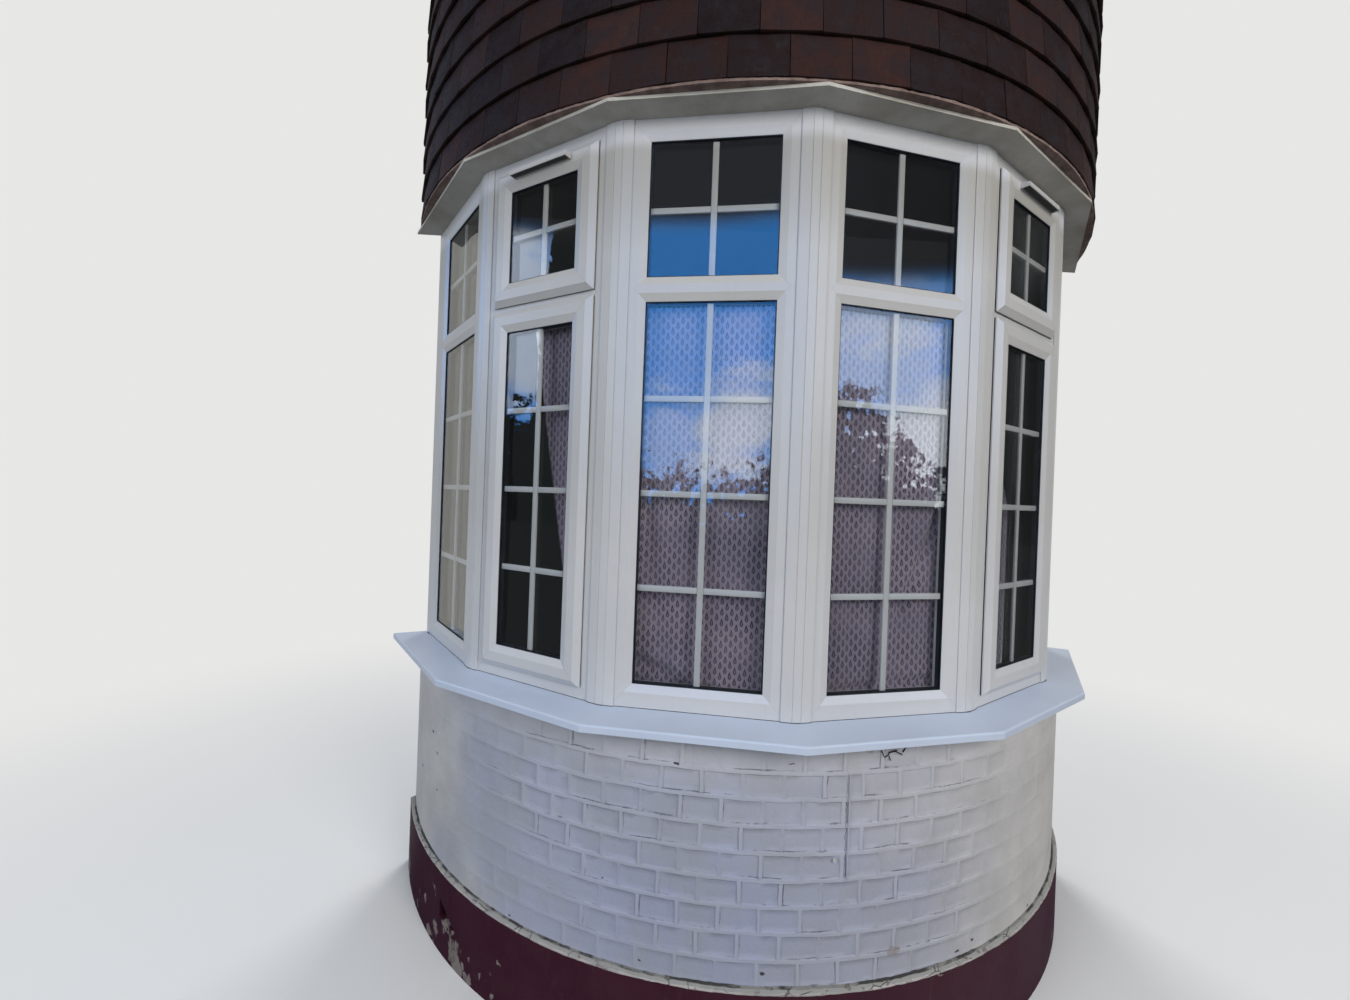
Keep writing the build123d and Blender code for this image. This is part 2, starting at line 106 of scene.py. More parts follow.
class BayFinishes(PropertyGroup):
    # Painted light: the cool wall paint is painted bluish shade. The warm one is painted warm light where it falls on
    # the right, and the same warm tone is used to the far left and under the sill.
    wall_cool_shade: colour("Wall paint", "Masonry paint where it looks cool", 0.375, 0.393, 0.482)
    wall_warm: colour("Warm wall paint", "Masonry paint where it has yellowed", 0.572, 0.552, 0.525)
    plinth_paint: colour("Plinth paint", "Dark red paint of the plinth", 0.046, 0.0105, 0.019)
    render: colour("Bare render", "Render where the paint has come off", 0.24, 0.20, 0.18)
    ledge: colour("Ledge", "Weathered paint on the mortar ledge", 0.32, 0.315, 0.295)
    soil: colour("Soil", "Dirt in joints and corners", 0.055, 0.050, 0.043)
    brick: colour("Brick", "Bricks where they are cut at the house wall", 0.30, 0.105, 0.06)
    frame_white: colour("Frame white", "Plastic of the frames", 0.560, 0.566, 0.582)
    # The sill's blue tint is painted light: blue sky light on its upward face.
    sill_white_sky_light: colour("Sill white", "Plastic of the sill", 0.530, 0.602, 0.735)
    soffit: colour("Soffit", "Board under the tiles", 0.50, 0.485, 0.44)
    mortar: colour("Mortar", "Rough mortar under the tiles", 0.17, 0.115, 0.10)
    tile: colour("Tile", "Weathered clay tiles", 0.0150, 0.0080, 0.0064)
    timber: colour("Timber", "Sawn boards", 0.42, 0.29, 0.17)
    plaster: colour("Plaster", "Painted plaster in the room", 0.62, 0.60, 0.56)
    seal: colour("Seal", "Rubber seals and spacers", 0.012, 0.012, 0.014)
    cloth: colour("Cloth", "Ground of the cloth", 0.56, 0.43, 0.53)
    motif: colour("Motif", "Drops printed on the cloth", 0.055, 0.035, 0.075)
    # Dark glass is painted shade: a dark tint that stands in for the unlit room.
    glass_room_shade: colour("Dark glass", "Glass with the dark room behind it", 0.020, 0.023, 0.026)
    glass_clear: colour("Clear glass", "Glass with the cloth behind it", 0.90, 0.94, 0.95)
    backdrop: colour("Backdrop", "Pale floor and background", 0.80, 0.80, 0.79)
    house_side: colour("House side", "What glass and gloss show on the house's side", 0.46, 0.45, 0.42)
    sky: colour("Sky", "Blue sky that the glass reflects", 0.055, 0.30, 0.84)
    vent_mesh: colour("Vent mesh", "Mesh under the hoods of the vents", 0.13, 0.14, 0.135)
    cloud: colour("Cloud", "Clouds that the glass reflects", 0.72, 0.755, 0.81)


# Selecting and shaping, as by hand

def clear_selection():
    bpy.ops.object.select_all(action="DESELECT")


def pick(piece):
    """Select one piece alone and make it the active one."""
    clear_selection()
    piece.select_set(True)
    bpy.context.view_layer.objects.active = piece


def named(name):
    """Name the piece that was just added."""
    piece = bpy.context.active_object
    piece.name = piece.data.name = name
    return piece


@contextmanager
def editing(piece, mode="FACE"):
    """Edit mode on one piece with all of it selected, and back."""
    pick(piece)
    bpy.ops.object.mode_set(mode="EDIT")
    bpy.ops.mesh.select_mode(type=mode)
    bpy.ops.mesh.select_all(action="SELECT")
    try:
        yield piece
    finally:
        bpy.ops.object.mode_set(mode="OBJECT")


def select_parts(mode, test):
    """Select the faces or edges that pass a test, in edit mode."""
    bpy.ops.mesh.select_mode(type=mode)
    mesh = bpy.context.edit_object.data
    shape = bmesh.from_edit_mesh(mesh)
    for part in shape.faces if mode == "FACE" else shape.edges:
        part.select_set(test(part))
    bmesh.update_edit_mesh(mesh)


def settle(piece):
    """Put the piece's place in its mesh."""
    pick(piece)
    bpy.ops.object.transform_apply(location=True, rotation=True, scale=True)
    return piece


def moved(piece, *places):
    """Move a piece's mesh by one place after the other."""
    for place in places:
        piece.data.transform(place)
    return piece


def use_modifier(piece, kind, **settings):
    """Add a modifier, set it and apply it."""
    pick(piece)
    modifier = piece.modifiers.new(kind.title(), kind)
    for key, value in settings.items():
        setattr(modifier, key, value)
    bpy.ops.object.modifier_apply(modifier=modifier.name)
    return piece


def join(pieces, name):
    """One piece from several."""
    clear_selection()
    for piece in pieces:
        piece.select_set(True)
    bpy.context.view_layer.objects.active = pieces[0]
    if len(pieces) > 1:
        bpy.ops.object.join()
    return named(name)


def spread(model, places, name):
    """Copies of one model at several places, each with its own mesh, joined into one piece."""
    copies = []
    for place in places:
        twin = bpy.data.objects.new(model.name, model.data.copy())
        bpy.context.scene.collection.objects.link(twin)
        copies.append(moved(twin, place))
    bpy.data.objects.remove(model)
    return join(copies, name)


def bar(low, high, edge=0.0, segments=2):
    """A straight bar between two corners, with its long edges eased."""
    low, high = Vector(low), Vector(high)
    clear_selection()
    bpy.ops.mesh.primitive_cube_add(size=1, location=(low + high) / 2, scale=high - low)
    piece = settle(named("bar"))
    if edge:
        use_modifier(piece, "BEVEL", width=edge, segments=segments, limit_method="ANGLE")
    return piece


def smooth(piece, degrees=35):
    pick(piece)
    bpy.ops.object.shade_smooth_by_angle(angle=math.radians(degrees))
    return piece


def point_out(piece):
    """Merge doubles and turn all faces outwards."""
    with editing(piece):
        bpy.ops.mesh.remove_doubles(threshold=0.00001)
        bpy.ops.mesh.normals_make_consistent(inside=False)
    return piece


def roughen(piece, name, size, depth, direction="NORMAL"):
    """Push the surface in and out by a cloudy pattern of this size."""
    pattern = bpy.data.textures.new(name, "CLOUDS")
    pattern.noise_scale = size
    return use_modifier(piece, "DISPLACE", texture=pattern, strength=depth, mid_level=0.5,
                        direction=direction, texture_coords="LOCAL")


def read_points(piece):
    """The points of a piece's mesh, one row each."""
    points = np.empty(len(piece.data.vertices) * 3)
    piece.data.vertices.foreach_get("co", points)
    return points.reshape(-1, 3)


def write_points(piece, points):
    piece.data.vertices.foreach_set("co", points.ravel())
    piece.data.update()


def cut_at_wall(piece):
    """Cut the piece flat at the house wall. The cut leaves points that stand 0.1 mm past it, which go back."""
    with editing(piece, "VERT"):
        bpy.ops.mesh.bisect(plane_co=(0, bay.wall_y, 0), plane_no=(0, 1, 0), use_fill=True, clear_outer=True)
    points = read_points(piece)
    points[:, 1] = np.minimum(points[:, 1], bay.wall_y)
    write_points(piece, points)
    return piece


def set_coats(piece, *coats):
    piece.data.materials.clear()
    for name in coats:
        piece.data.materials.append(finish(name))


def dress(piece, coats, slot, *replaced):
    """Finish a piece: its coats, the body that carries it and the nodes it stands for. Its slot is not used."""
    set_coats(piece, *coats.split())
    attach(piece, "root")
    if replaced:
        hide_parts(*replaced)


def dress_nodes(coat, *names):
    """Give nodes of the frame their finish."""
    for name in names:
        set_coats(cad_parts[name], coat)


# The bay's own geometry, worked out from the frame

class Bay:
    """Plan of the bay: the middle of its circle, its radii and its facets."""

    def __init__(self):
        low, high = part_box("brick_wall")
        depth = high.y - low.y
        self.wall_y = high.y
        self.brick_radius = (high.x ** 2 + depth ** 2) / (2 * depth)
        self.centre_y = low.y + self.brick_radius
        self.half_turn = sizes.facet_turn / 2
        self.facet_radius = sizes.facet_length / 2 / math.tan(self.half_turn)
        self.numbers = range(1, sizes.facet_count + 1)

    def radius(self, node):
        """Outer radius of a round node."""
        return self.centre_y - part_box(node)[0].y

    def turned(self, turn, radius, height=0):
        """A place on a round face, turned with it. Zero is the front, and plus is to the right."""
        return (Matrix.Translation((0, self.centre_y, height)) @ Matrix.Rotation(turn, 4, "Z")
                @ Matrix.Translation((0, -radius, 0)))

    def facet(self, number):
        """Middle of a facet's outer face at the ground: +X to the right, +Y into the room."""
        return self.turned((number - (sizes.facet_count + 1) / 2) * sizes.facet_turn, self.facet_radius)


def node_corners(name, number):
    """The points of a node in its facet's own frame."""
    back = bay.facet(number).inverted()
    return [back @ vertex.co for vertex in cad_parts[name].data.vertices]


def box_of(corners):
    """Lowest and highest corner of some points."""
    return Vector(map(min, zip(*corners))), Vector(map(max, zip(*corners)))


class Light:
    """One sealed glass unit of a facet, in that facet's own frame."""

    def __init__(self, corners):
        (self.left, self.outer, self.bottom), (self.right, _, self.top) = box_of(corners)
        self.width = self.right - self.left
        self.height = self.top - self.bottom


def lights_of(number):
    """The two glazed lights of a facet, lower one first, read from its glass node."""
    corners = node_corners(f"glazing_{number}", number)
    levels = sorted({round(corner.z, 4) for corner in corners})
    return [Light([corner for corner in corners if bottom - 0.001 < corner.z < top + 0.001])
            for bottom, top in (levels[:2], levels[2:])]


# Shader building blocks

class Value:
    """What a node puts out. Sums on it add the nodes that work them out."""

    def __init__(self, socket):
        self.socket = socket

    def worked(self, kind, other=0.0):
        return put("ShaderNodeMath", {0: self, 1: other}, operation=kind)[0]

    __add__ = partialmethod(worked, "ADD")
    __sub__ = partialmethod(worked, "SUBTRACT")
    __mul__ = partialmethod(worked, "MULTIPLY")
    __truediv__ = partialmethod(worked, "DIVIDE")
    __mod__ = partialmethod(worked, "MODULO")
    __pow__ = partialmethod(worked, "POWER")
    __abs__ = partialmethod(worked, "ABSOLUTE")
    floor = partialmethod(worked, "FLOOR")
    fraction = partialmethod(worked, "FRACT")

    def __rsub__(self, other):
        return put("ShaderNodeMath", {0: other, 1: self}, operation="SUBTRACT")[0]

    def ramp(self, low, high, out_low=0.0, out_high=1.0):
        """Stretch it from one range to another, softly, and hold it there."""
        return put("ShaderNodeMapRange", {"Value": self, "From Min": low, "From Max": high, "To Min": out_low,
                                          "To Max": out_high}, interpolation_type="SMOOTHSTEP")[0]

    @property
    def axes(self):
        parts = put("ShaderNodeSeparateXYZ", {0: self})
        return parts["X"], parts["Y"], parts["Z"]


class Made:
    """The outputs of a node that was added, each as a Value."""

    def __init__(self, node):
        self.node = node

    def __getitem__(self, key):
        return Value(self.node.outputs[key])


def feed(node, inputs):
    """Join or set what a node's inputs are given."""
    for key, value in inputs.items():
        socket = node.inputs[key]
        if isinstance(value, Value):
            node.id_data.links.new(value.socket, socket)
        elif socket.type == "RGBA":
            socket.default_value = (*tuple(value)[:3], 1.0)
        else:
            socket.default_value = value


def put(kind, inputs=None, tree=None, **settings):
    """Add a node beside what feeds it, or in a named tree, and set it up."""
    inputs = inputs or {}
    if tree is None:
        tree = next(value for value in inputs.values() if isinstance(value, Value)).socket.id_data
    node = tree.nodes.new(kind)
    for key, value in settings.items():
        setattr(node, key, value)
    feed(node, inputs)
    return Made(node)


def most(*values):
    return reduce(lambda first, second: first.worked("MAXIMUM", second), values)


def least(*values):
    return reduce(lambda first, second: first.worked("MINIMUM", second), values)


def mix(share, first, second):
    """Blend two colours by a share."""
    return put("ShaderNodeMix", {0: share, 6: first, 7: second}, data_type="RGBA")[2]


def mix_shaders(share, first, second):
    return put("ShaderNodeMixShader", {0: share, 1: first, 2: second})[0]


def shade(tone, share):
    """A tone made darker."""
    return [share * part for part in tone]


def noise(place, scale, detail=3.0, roughness=0.55):
    return put("ShaderNodeTexNoise", {"Vector": place, "Scale": scale, "Detail": detail,
                                      "Roughness": roughness})["Fac"]


def stretched(place, scale):
    """The same coordinates stretched along the axes."""
    return put("ShaderNodeMapping", {"Vector": place, "Scale": scale})[0]


def vector(kind, first, second=(0, 0, 0), out="Vector"):
    return put("ShaderNodeVectorMath", {0: first, 1: second}, operation=kind)[out]


def combined(**parts):
    return put("ShaderNodeCombineXYZ", parts)[0]


def attribute(tree, name):
    return put("ShaderNodeAttribute", tree=tree, attribute_name=name)


def ragged(place, scale, amount):
    """Coordinates pushed about by noise, so that what is drawn on them gets uneven edges."""
    cloud = put("ShaderNodeTexNoise", {"Vector": place, "Scale": scale, "Detail": 4.0})["Color"]
    centred = vector("SUBTRACT", cloud, (0.5, 0.5, 0.5))
    return vector("ADD", place, vector("MULTIPLY", centred, (amount, amount, amount)))


def unrolled(place, radius):
    """Run along the curve from the front, and height, of a place on the round wall."""
    x, y, z = place.axes
    return x.worked("ARCTAN2", bay.centre_y - y) * radius, z


def marks(place, radius, places):
    """Mask of oval marks on a round face: degrees, height, half width and half height of each."""
    run, height = unrolled(place, radius)
    flat = combined(X=run, Z=height)
    ovals = []
    for degrees, middle, half_width, half_height in places:
        offset = vector("SUBTRACT", flat, (radius * math.radians(degrees), 0, middle))
        scaled = vector("MULTIPLY", offset, (1 / half_width, 0, 1 / half_height))
        ovals.append(vector("LENGTH", scaled, out="Value").ramp(1.2, 0.85))
    return most(*ovals)


def bump(height, distance):
    return put("ShaderNodeBump", {"Height": height, "Distance": distance, "Strength": 1.0})[0]


# Effects that finishes share, each a node group

def grain_effect(place, fine, coarse, balance):
    """Fine and coarse unevenness of a coat, as a height and a mask of its hollows."""
    fine, coarse = noise(place, fine, 4.0), noise(place, coarse, 3.0)
    height = put("ShaderNodeMix", {0: balance, 2: coarse, 3: fine}, data_type="FLOAT")[0]
    return height, coarse.ramp(0.5, 0.3)


def drift_effect(place, tone, other, scale, amount):
    """Slow change of tone over a surface."""
    mask = noise(place, scale, 5.0, 0.6).ramp(0.35, 0.68) * amount
    return mix(mask, tone, other), mask


def soil_effect(place, tone, soil, patches, streaks, scale):
    """Dirt in patches and in streaks that run down a surface."""
    spots = noise(place, scale, 8.0, 0.7).ramp(0.56, 0.78)
    runs = noise(stretched(place, (9.0, 9.0, 0.7)), scale, 5.0, 0.6).ramp(0.55, 0.8)
    mask = most(spots * patches, runs * streaks)
    return mix(mask, tone, soil), mask


def flake_effect(place, coat, under, cover, scale):
    """A coat that has flaked off in places: its colour, its mask and its height."""
    edge = {"Value": noise(place, scale, 9.0, 0.66) - cover, "From Min": 0.0, "From Max": 0.012}
    lost = put("ShaderNodeMapRange", edge)[0]
    return mix(lost, coat, under), lost, 1.0 - lost


white, black = (1, 1, 1, 1), (0, 0, 0, 1)
effects = {
    "Grain": (grain_effect, (("Place", "Vector", None), ("Fine", "Float", 900.0), ("Coarse", "Float", 60.0),
                             ("Balance", "Float", 0.5)), ("Height", "Hollows")),
    "Tone drift": (drift_effect, (("Place", "Vector", None), ("Colour", "Color", white), ("Other", "Color", black),
                                  ("Scale", "Float", 2.0), ("Amount", "Float", 0.5)), ("Colour", "Mask")),
    "Soil": (soil_effect, (("Place", "Vector", None), ("Colour", "Color", white), ("Soil", "Color", black),
                           ("Patches", "Float", 0.3), ("Streaks", "Float", 0.2), ("Scale", "Float", 8.0)),
             ("Colour", "Mask")),
    "Flaking": (flake_effect, (("Place", "Vector", None), ("Coat", "Color", white), ("Under", "Color", black),
                               ("Cover", "Float", 0.7), ("Scale", "Float", 14.0)), ("Colour", "Mask", "Height")),
}


def build_group(name):
    """The node group of one effect, with named sockets."""
    maker, inputs, outputs = effects[name]
    tree = bpy.data.node_groups.new(name, "ShaderNodeTree")
    for label, kind, default in inputs:
        socket = tree.interface.new_socket(name=label, in_out="INPUT", socket_type=f"NodeSocket{kind}")
        if default is not None:
            socket.default_value = default
    for label in outputs:
        kind = "Color" if label == "Colour" else "Float"
        tree.interface.new_socket(name=label, in_out="OUTPUT", socket_type=f"NodeSocket{kind}")
    given = put("NodeGroupInput", tree=tree)
    made = maker(*[given[label] for label, _, _ in inputs])
    feed(tree.nodes.new("NodeGroupOutput"), dict(zip(outputs, made)))
    return tree


def effect(name, *values):
    """Place an effect in a material, its inputs in order. It is built the first time that it is asked for."""
    tree = bpy.data.node_groups.get(name) or build_group(name)
    return put("ShaderNodeGroup", dict(enumerate(values)), node_tree=tree)


# Finishes

# Marks on the wall: degrees from the front, height, half width and half height
pits = ((-53.0, 0.729, 0.012, 0.004), (-51.0, 0.665, 0.010, 0.003), (-58.4, 0.534, 0.012, 0.004),
        (-50.6, 0.527, 0.008, 0.003), (-32.8, 0.299, 0.005, 0.003), (-20.4, 0.529, 0.003, 0.003),
        (-2.8, 0.325, 0.007, 0.005), (-15.8, 0.317, 0.005, 0.003), (23.0, 0.321, 0.005, 0.004),
        (20.5, 0.307, 0.009, 0.003), (20.7, 0.953, 0.003, 0.003), (35.6, 0.304, 0.005, 0.004),
        (-12.6, 0.905, 0.009, 0.0025), (-0.5, 0.925, 0.010, 0.002), (5.55, 0.745, 0.0008, 0.150))
smudges = ((-44.0, 0.985, 0.060, 0.012), (-37.0, 0.975, 0.045, 0.010), (11.6, 0.368, 0.022, 0.016),
           (9.0, 0.972, 0.070, 0.014), (-24.0, 0.968, 0.050, 0.008))
# Chips in the plinth's paint, likewise
chips = ((-48.4, 0.211, 0.010, 0.009), (-44.2, 0.140, 0.010, 0.008), (-33.2, 0.145, 0.006, 0.005),
         (-38.7, 0.088, 0.008, 0.012), (17.4, 0.277, 0.009, 0.005), (-43.0, 0.122, 0.014, 0.010),
         (-41.6, 0.085, 0.010, 0.022), (-40.2, 0.042, 0.013, 0.022), (-39.3, 0.012, 0.018, 0.018),
         (-36.4, 0.060, 0.005, 0.010), (-47.6, 0.190, 0.003, 0.020), (-44.8, 0.104, 0.024, 0.018),
         (-43.0, 0.050, 0.022, 0.034), (-47.6, 0.070, 0.018, 0.026), (-51.5, 0.110, 0.012, 0.018),
         (-49.5, 0.020, 0.030, 0.020), (-34.6, 0.028, 0.010, 0.012), (31.0, 0.020, 0.014, 0.010),
         (46.0, 0.060, 0.010, 0.014))


class Coat:
    """A new material, its shader and the coordinates of the piece that wears it."""

    def __init__(self, name):
        self.material = bpy.data.materials.new(f"bay_{name}")
        self.material.use_nodes = True
        self.tree = self.material.node_tree
        self.shader = self.tree.nodes["Principled BSDF"]
        self.coordinates = put("ShaderNodeTexCoord", tree=self.tree)
        self.place = self.coordinates["Object"]

    def paint(self, tone, roughness, height=None, depth=0.0, **levels):
        """Feed the shader. Its other levels go by its own names, with underscores between the words."""
        feed(self.shader, {"Base Color": tone, "Roughness": roughness})
        if height is not None:
            feed(self.shader, {"Normal": bump(height, depth)})
        feed(self.shader, {key.replace("_", " "): level for key, level in levels.items()})
        return self.material

    def show(self, surface):
        """Send another surface than the plain shader to the output."""
        feed(self.tree.nodes["Material Output"], {"Surface": surface})
        return self.material


def masonry_paint(coat):
    """Old masonry paint: a cool tone that is painted bluish shade, warm to the right with painted warm light, warmer
    to the far left and under the sill, painted shade low on the front, soiled under the sill, and painted highlight
    and shade at the joints.
    """
    place = coat.place
    x, _, z = place.axes
    across = x + noise(place, 1.6, 4.0) * 1.1
    # Painted light: the wall turns warm to the right with painted warm light, and also to the far left and under the
    # sill. Elsewhere it keeps the cool tone, a painted bluish shade.
    warm_lit_right, pale_left = across.ramp(0.15, 1.6), across.ramp(-0.30, -0.75, 0.0, 0.95)
    near_sill = z.ramp(0.80, 0.99) * 0.6
    tone = mix(most(warm_lit_right, pale_left, near_sill), finishes.wall_cool_shade, finishes.wall_warm)
    # Painted shade: the front of the wall turns darker and bluer towards its foot.
    low_front_shade = z.ramp(0.86, 0.50) * abs(x).ramp(0.85, 0.35, 0.0, 0.55)
    tone = mix(low_front_shade, tone, (0.27, 0.295, 0.41))
    tone = effect("Tone drift", place, tone, finishes.ledge, 5.0, 0.35)["Colour"]
    tone = effect("Soil", place, tone, finishes.soil, 0.10, 0.06, 7.0)["Colour"]
    crease, ridge_highlight = joint_lines(coat)
    # Painted highlight on the joints' tops, and dirt with painted shade in the lines along their edges.
    tone = mix(ridge_highlight * 0.14, tone, (0.60, 0.61, 0.64))
    tone = mix(crease * 0.66, tone, (0.085, 0.088, 0.110))
    smudged = marks(ragged(place, 22.0, 0.080), bay.brick_radius, smudges) * 0.40
    tone = mix(smudged, tone, (0.20, 0.135, 0.085))
    tone = mix(marks(ragged(place, 60.0, 0.012), bay.brick_radius, pits), tone, finishes.soil)
    grain = effect("Grain", place, 420.0, 75.0, 0.35)
    return coat.paint(tone, grain["Hollows"].ramp(0.0, 1.0, 0.62, 0.82), grain["Height"] - crease * 0.9, 0.0018)


def joint_offsets(flat):
    """Offsets from the nearest bed joint and upright joint. Plus is above it, or to its right."""
    along, _, height = ragged(flat, 34.0, 0.004).axes
    rise = (height - sizes.first_joint) / sizes.course
    odd = rise.floor() % 2.0 * 0.5
    along = (along - bay.brick_radius * sizes.first_perpend) / sizes.header - odd
    return [((value + 0.5).fraction() - 0.5) * pitch
            for value, pitch in ((rise, sizes.course), (along, sizes.header))]


def joint_lines(coat):
    """Thin broken lines where the joints meet the bricks, partly dirt and partly painted shade, and a mask of the
    joints' tops.
    """
    flat = attribute(coat.tree, "joint_place")["Vector"]
    shown = flat.axes[1]
    bed, upright = joint_offsets(flat)
    off_bed, off_upright = abs(bed), abs(upright)
    half_joint = sizes.joint_width / 2
    reach = half_joint + sizes.joint_slope
    width = noise(coat.place, 13.0, 4.0, 0.7).ramp(0.40, 0.68, 0.0005, 0.0019)
    lines = []
    for own, near, other, crossing in ((bed, off_bed, off_upright, 0.6), (upright, off_upright, off_bed, 0.0)):
        line = (abs(near - reach) / width).ramp(1.5, 0.5)
        side = own.ramp(-0.001, 0.001, 0.45, 1.0)
        corner = other.ramp(reach - 0.0035, reach - 0.001, crossing)
        lines.append(line * side * corner)
    broken = noise(coat.place, 7.0, 8.0, 0.75).ramp(0.49, 0.60)
    front = far_from_sides(coat.place)
    crease = most(lines[0], lines[1] * shown) * (broken * front)
    nearest = least(off_bed, off_upright + (1.0 - shown) * 0.01)
    return crease, nearest.ramp(half_joint + 0.001, half_joint - 0.001) * front


def far_from_sides(place):
    """One round the front of the wall, fading where the joints are filled with paint."""
    run, height = unrolled(place, bay.brick_radius)
    low_left = (height + run * 0.45).ramp(0.02, 0.30, 0.3, 1.0)
    return abs(run + 0.16).ramp(1.08, 0.56, 0.10, 1.0) * low_left


def cut_brick(coat):
    """Bare bricks and mortar where the wall is cut."""
    lowest = sizes.first_joint - sizes.joint_width / 2
    share = ((coat.place.axes[2] - lowest) / sizes.course).fraction()
    joint = share.worked("LESS_THAN", sizes.joint_width / sizes.course)
    brick = effect("Tone drift", coat.place, finishes.brick, finishes.tile, 14.0, 0.6)["Colour"]
    grain = effect("Grain", coat.place, 500.0, 120.0, 0.5)["Height"]
    return coat.paint(mix(joint, brick, finishes.plaster), 0.9, grain, 0.003)


def plinth_paint(coat):
    """Dark red paint on render, flaked off round the broken hole and along the foot, lighter towards the right."""
    place = coat.place
    x, _, z = place.axes
    wear = most(x.ramp(-0.72, -1.02) * z.ramp(0.30, 0.02), z.ramp(0.09, 0.0, 0.0, 0.55))
    tone = mix(x.ramp(-0.1, 1.0, 0.0, 0.85), finishes.plinth_paint, (0.078, 0.038, 0.048))
    tone = effect("Tone drift", place, tone, (0.058, 0.018, 0.026), 6.0, 0.6)["Colour"]
    flaked = effect("Flaking", stretched(place, (1.0, 1.0, 0.55)), tone, finishes.render, 0.83 - wear * 0.27, 11.0)
    tone = effect("Soil", place, flaked["Colour"], (0.10, 0.085, 0.075), 0.22, 0.18, 9.0)["Colour"]
    chipped = marks(ragged(ragged(place, 26.0, 0.075), 120.0, 0.020), bay.radius("plinth"), chips)
    bared = mix(noise(place, 60.0, 6.0, 0.7).ramp(0.35, 0.65), (0.27, 0.225, 0.205), (0.15, 0.115, 0.11))
    grain = effect("Grain", place, 260.0, 38.0, 0.3)["Height"]
    lost = most(flaked["Mask"], chipped)
    return coat.paint(mix(chipped, tone, bared), lost.ramp(0.0, 1.0, 0.55, 0.9),
                      grain * 0.8 + (flaked["Height"] - chipped), 0.0022, Specular_IOR_Level=0.2)


def ledge_paint(coat):
    """Dirty, cracked paint on the mortar ledge, with a dark line along the wall that is partly a gap and partly
    painted shadow, and paler along its lip.
    """
    place = coat.place
    flaked = effect("Flaking", stretched(place, (1.0, 1.0, 2.5)), finishes.ledge, finishes.render, 0.60, 26.0)
    tone = effect("Soil", place, flaked["Colour"], finishes.soil, 0.75, 0.2, 24.0)["Colour"]
    cells = put("ShaderNodeTexVoronoi", {"Vector": stretched(place, (1.0, 1.0, 3.0)), "Scale": 17.0},
                feature="DISTANCE_TO_EDGE")[0]
    crack = cells.ramp(0.020, 0.004) * noise(place, 8.0, 3.0).ramp(0.46, 0.56)
    x, y, _ = ragged(place, 30.0, 0.006).axes
    out = vector("LENGTH", combined(X=x, Y=y - bay.centre_y), out="Value") - bay.brick_radius
    broken = noise(place, 9.0, 4.0).ramp(0.42, 0.52, 0.35, 1.0)
    # Dark line at the foot of the wall: partly the gap where the ledge has parted, partly painted shadow in the
    # corner.
    crack = most(crack, out.ramp(0.0085, 0.0050) * broken)
    lip = out.ramp(0.0155, 0.0175) * broken
    tone = mix(lip * 0.7, tone, (0.52, 0.47, 0.45))
    grain = effect("Grain", place, 300.0, 70.0, 0.5)["Height"]
    return coat.paint(mix(crack, tone, finishes.soil), 0.85, grain + flaked["Height"] - crack, 0.003)


def window_plastic(coat, tone, soil_share):
    """White window plastic: smooth, a little uneven, with faint dust, and painted shade that darkens it towards the
    soffit.
    """
    place = coat.place
    height = place.axes[2]
    drifted = effect("Tone drift", place, tone, shade(tone, 0.90), 3.0, 0.6)["Colour"]
    soiled = effect("Soil", place, drifted, finishes.render, soil_share, soil_share, 11.0)
    # Painted shade from the overhang: darker and yellower up the frames towards the soffit, easing off at the very
    # top.
    soffit_shade = most(height.ramp(1.2, 1.8, 0.0, 0.45), height.ramp(2.15, 2.70)) * height.ramp(2.715, 2.76, 1.0, 0.1)
    soffit_shaded = mix(soffit_shade, soiled["Colour"], [share * part for share, part in zip((0.69, 0.665, 0.60), tone)])
    grain = effect("Grain", place, 700.0, 24.0, 0.25)["Height"]
    return coat.paint(soffit_shaded, soiled["Mask"].ramp(0.0, 0.5, 0.28, 0.6), grain, 0.0005, Specular_IOR_Level=0.45)


def plain_coat(coat, tone, other, drift, soil, grain, depth, roughness):
    """A coat whose tone drifts towards another, with soil on some, over an uneven ground."""
    tone = effect("Tone drift", coat.place, tone, other, *drift)["Colour"]
    if soil:
        tone = effect("Soil", coat.place, tone, *soil)["Colour"]
    return coat.paint(tone, roughness, effect("Grain", coat.place, *grain)["Height"], depth)


def tile_clay(coat):
    """Dark weathered clay, each tile a little lighter, redder or browner than the next."""
    tone = mix(attribute(coat.tree, "tile_tone")["Fac"], finishes.tile, (0.047, 0.021, 0.016))
    tone = effect("Tone drift", coat.place, tone, (0.022, 0.017, 0.018), 16.0, 0.75)["Colour"]
    tone = effect("Soil", coat.place, tone, (0.10, 0.095, 0.085), 0.20, 0.12, 22.0)["Colour"]
    grain = effect("Grain", coat.place, 650.0, 90.0, 0.5)
    return coat.paint(tone, grain["Hollows"].ramp(0.0, 1.0, 0.6, 0.85), grain["Height"], 0.0018,
                      Specular_IOR_Level=0.10)


def sawn_timber(coat):
    """Pale sawn boards with grain and butt joints, laid along X."""
    board_width = 0.145
    rings = noise(stretched(coat.place, (2.0, 26.0, 26.0)), 4.0, 8.0, 0.65)
    _, y, z = coat.place.axes
    gap = ((y + z) / board_width).fraction().ramp(0.035, 0.012)
    tone = mix(rings.ramp(0.35, 0.7), finishes.timber, (0.25, 0.155, 0.085))
    tone = effect("Soil", coat.place, tone, finishes.soil, 0.25, 0.1, 9.0)["Colour"]
    return coat.paint(mix(gap, tone, finishes.soil), 0.8, rings - gap * 2.0, 0.0015)


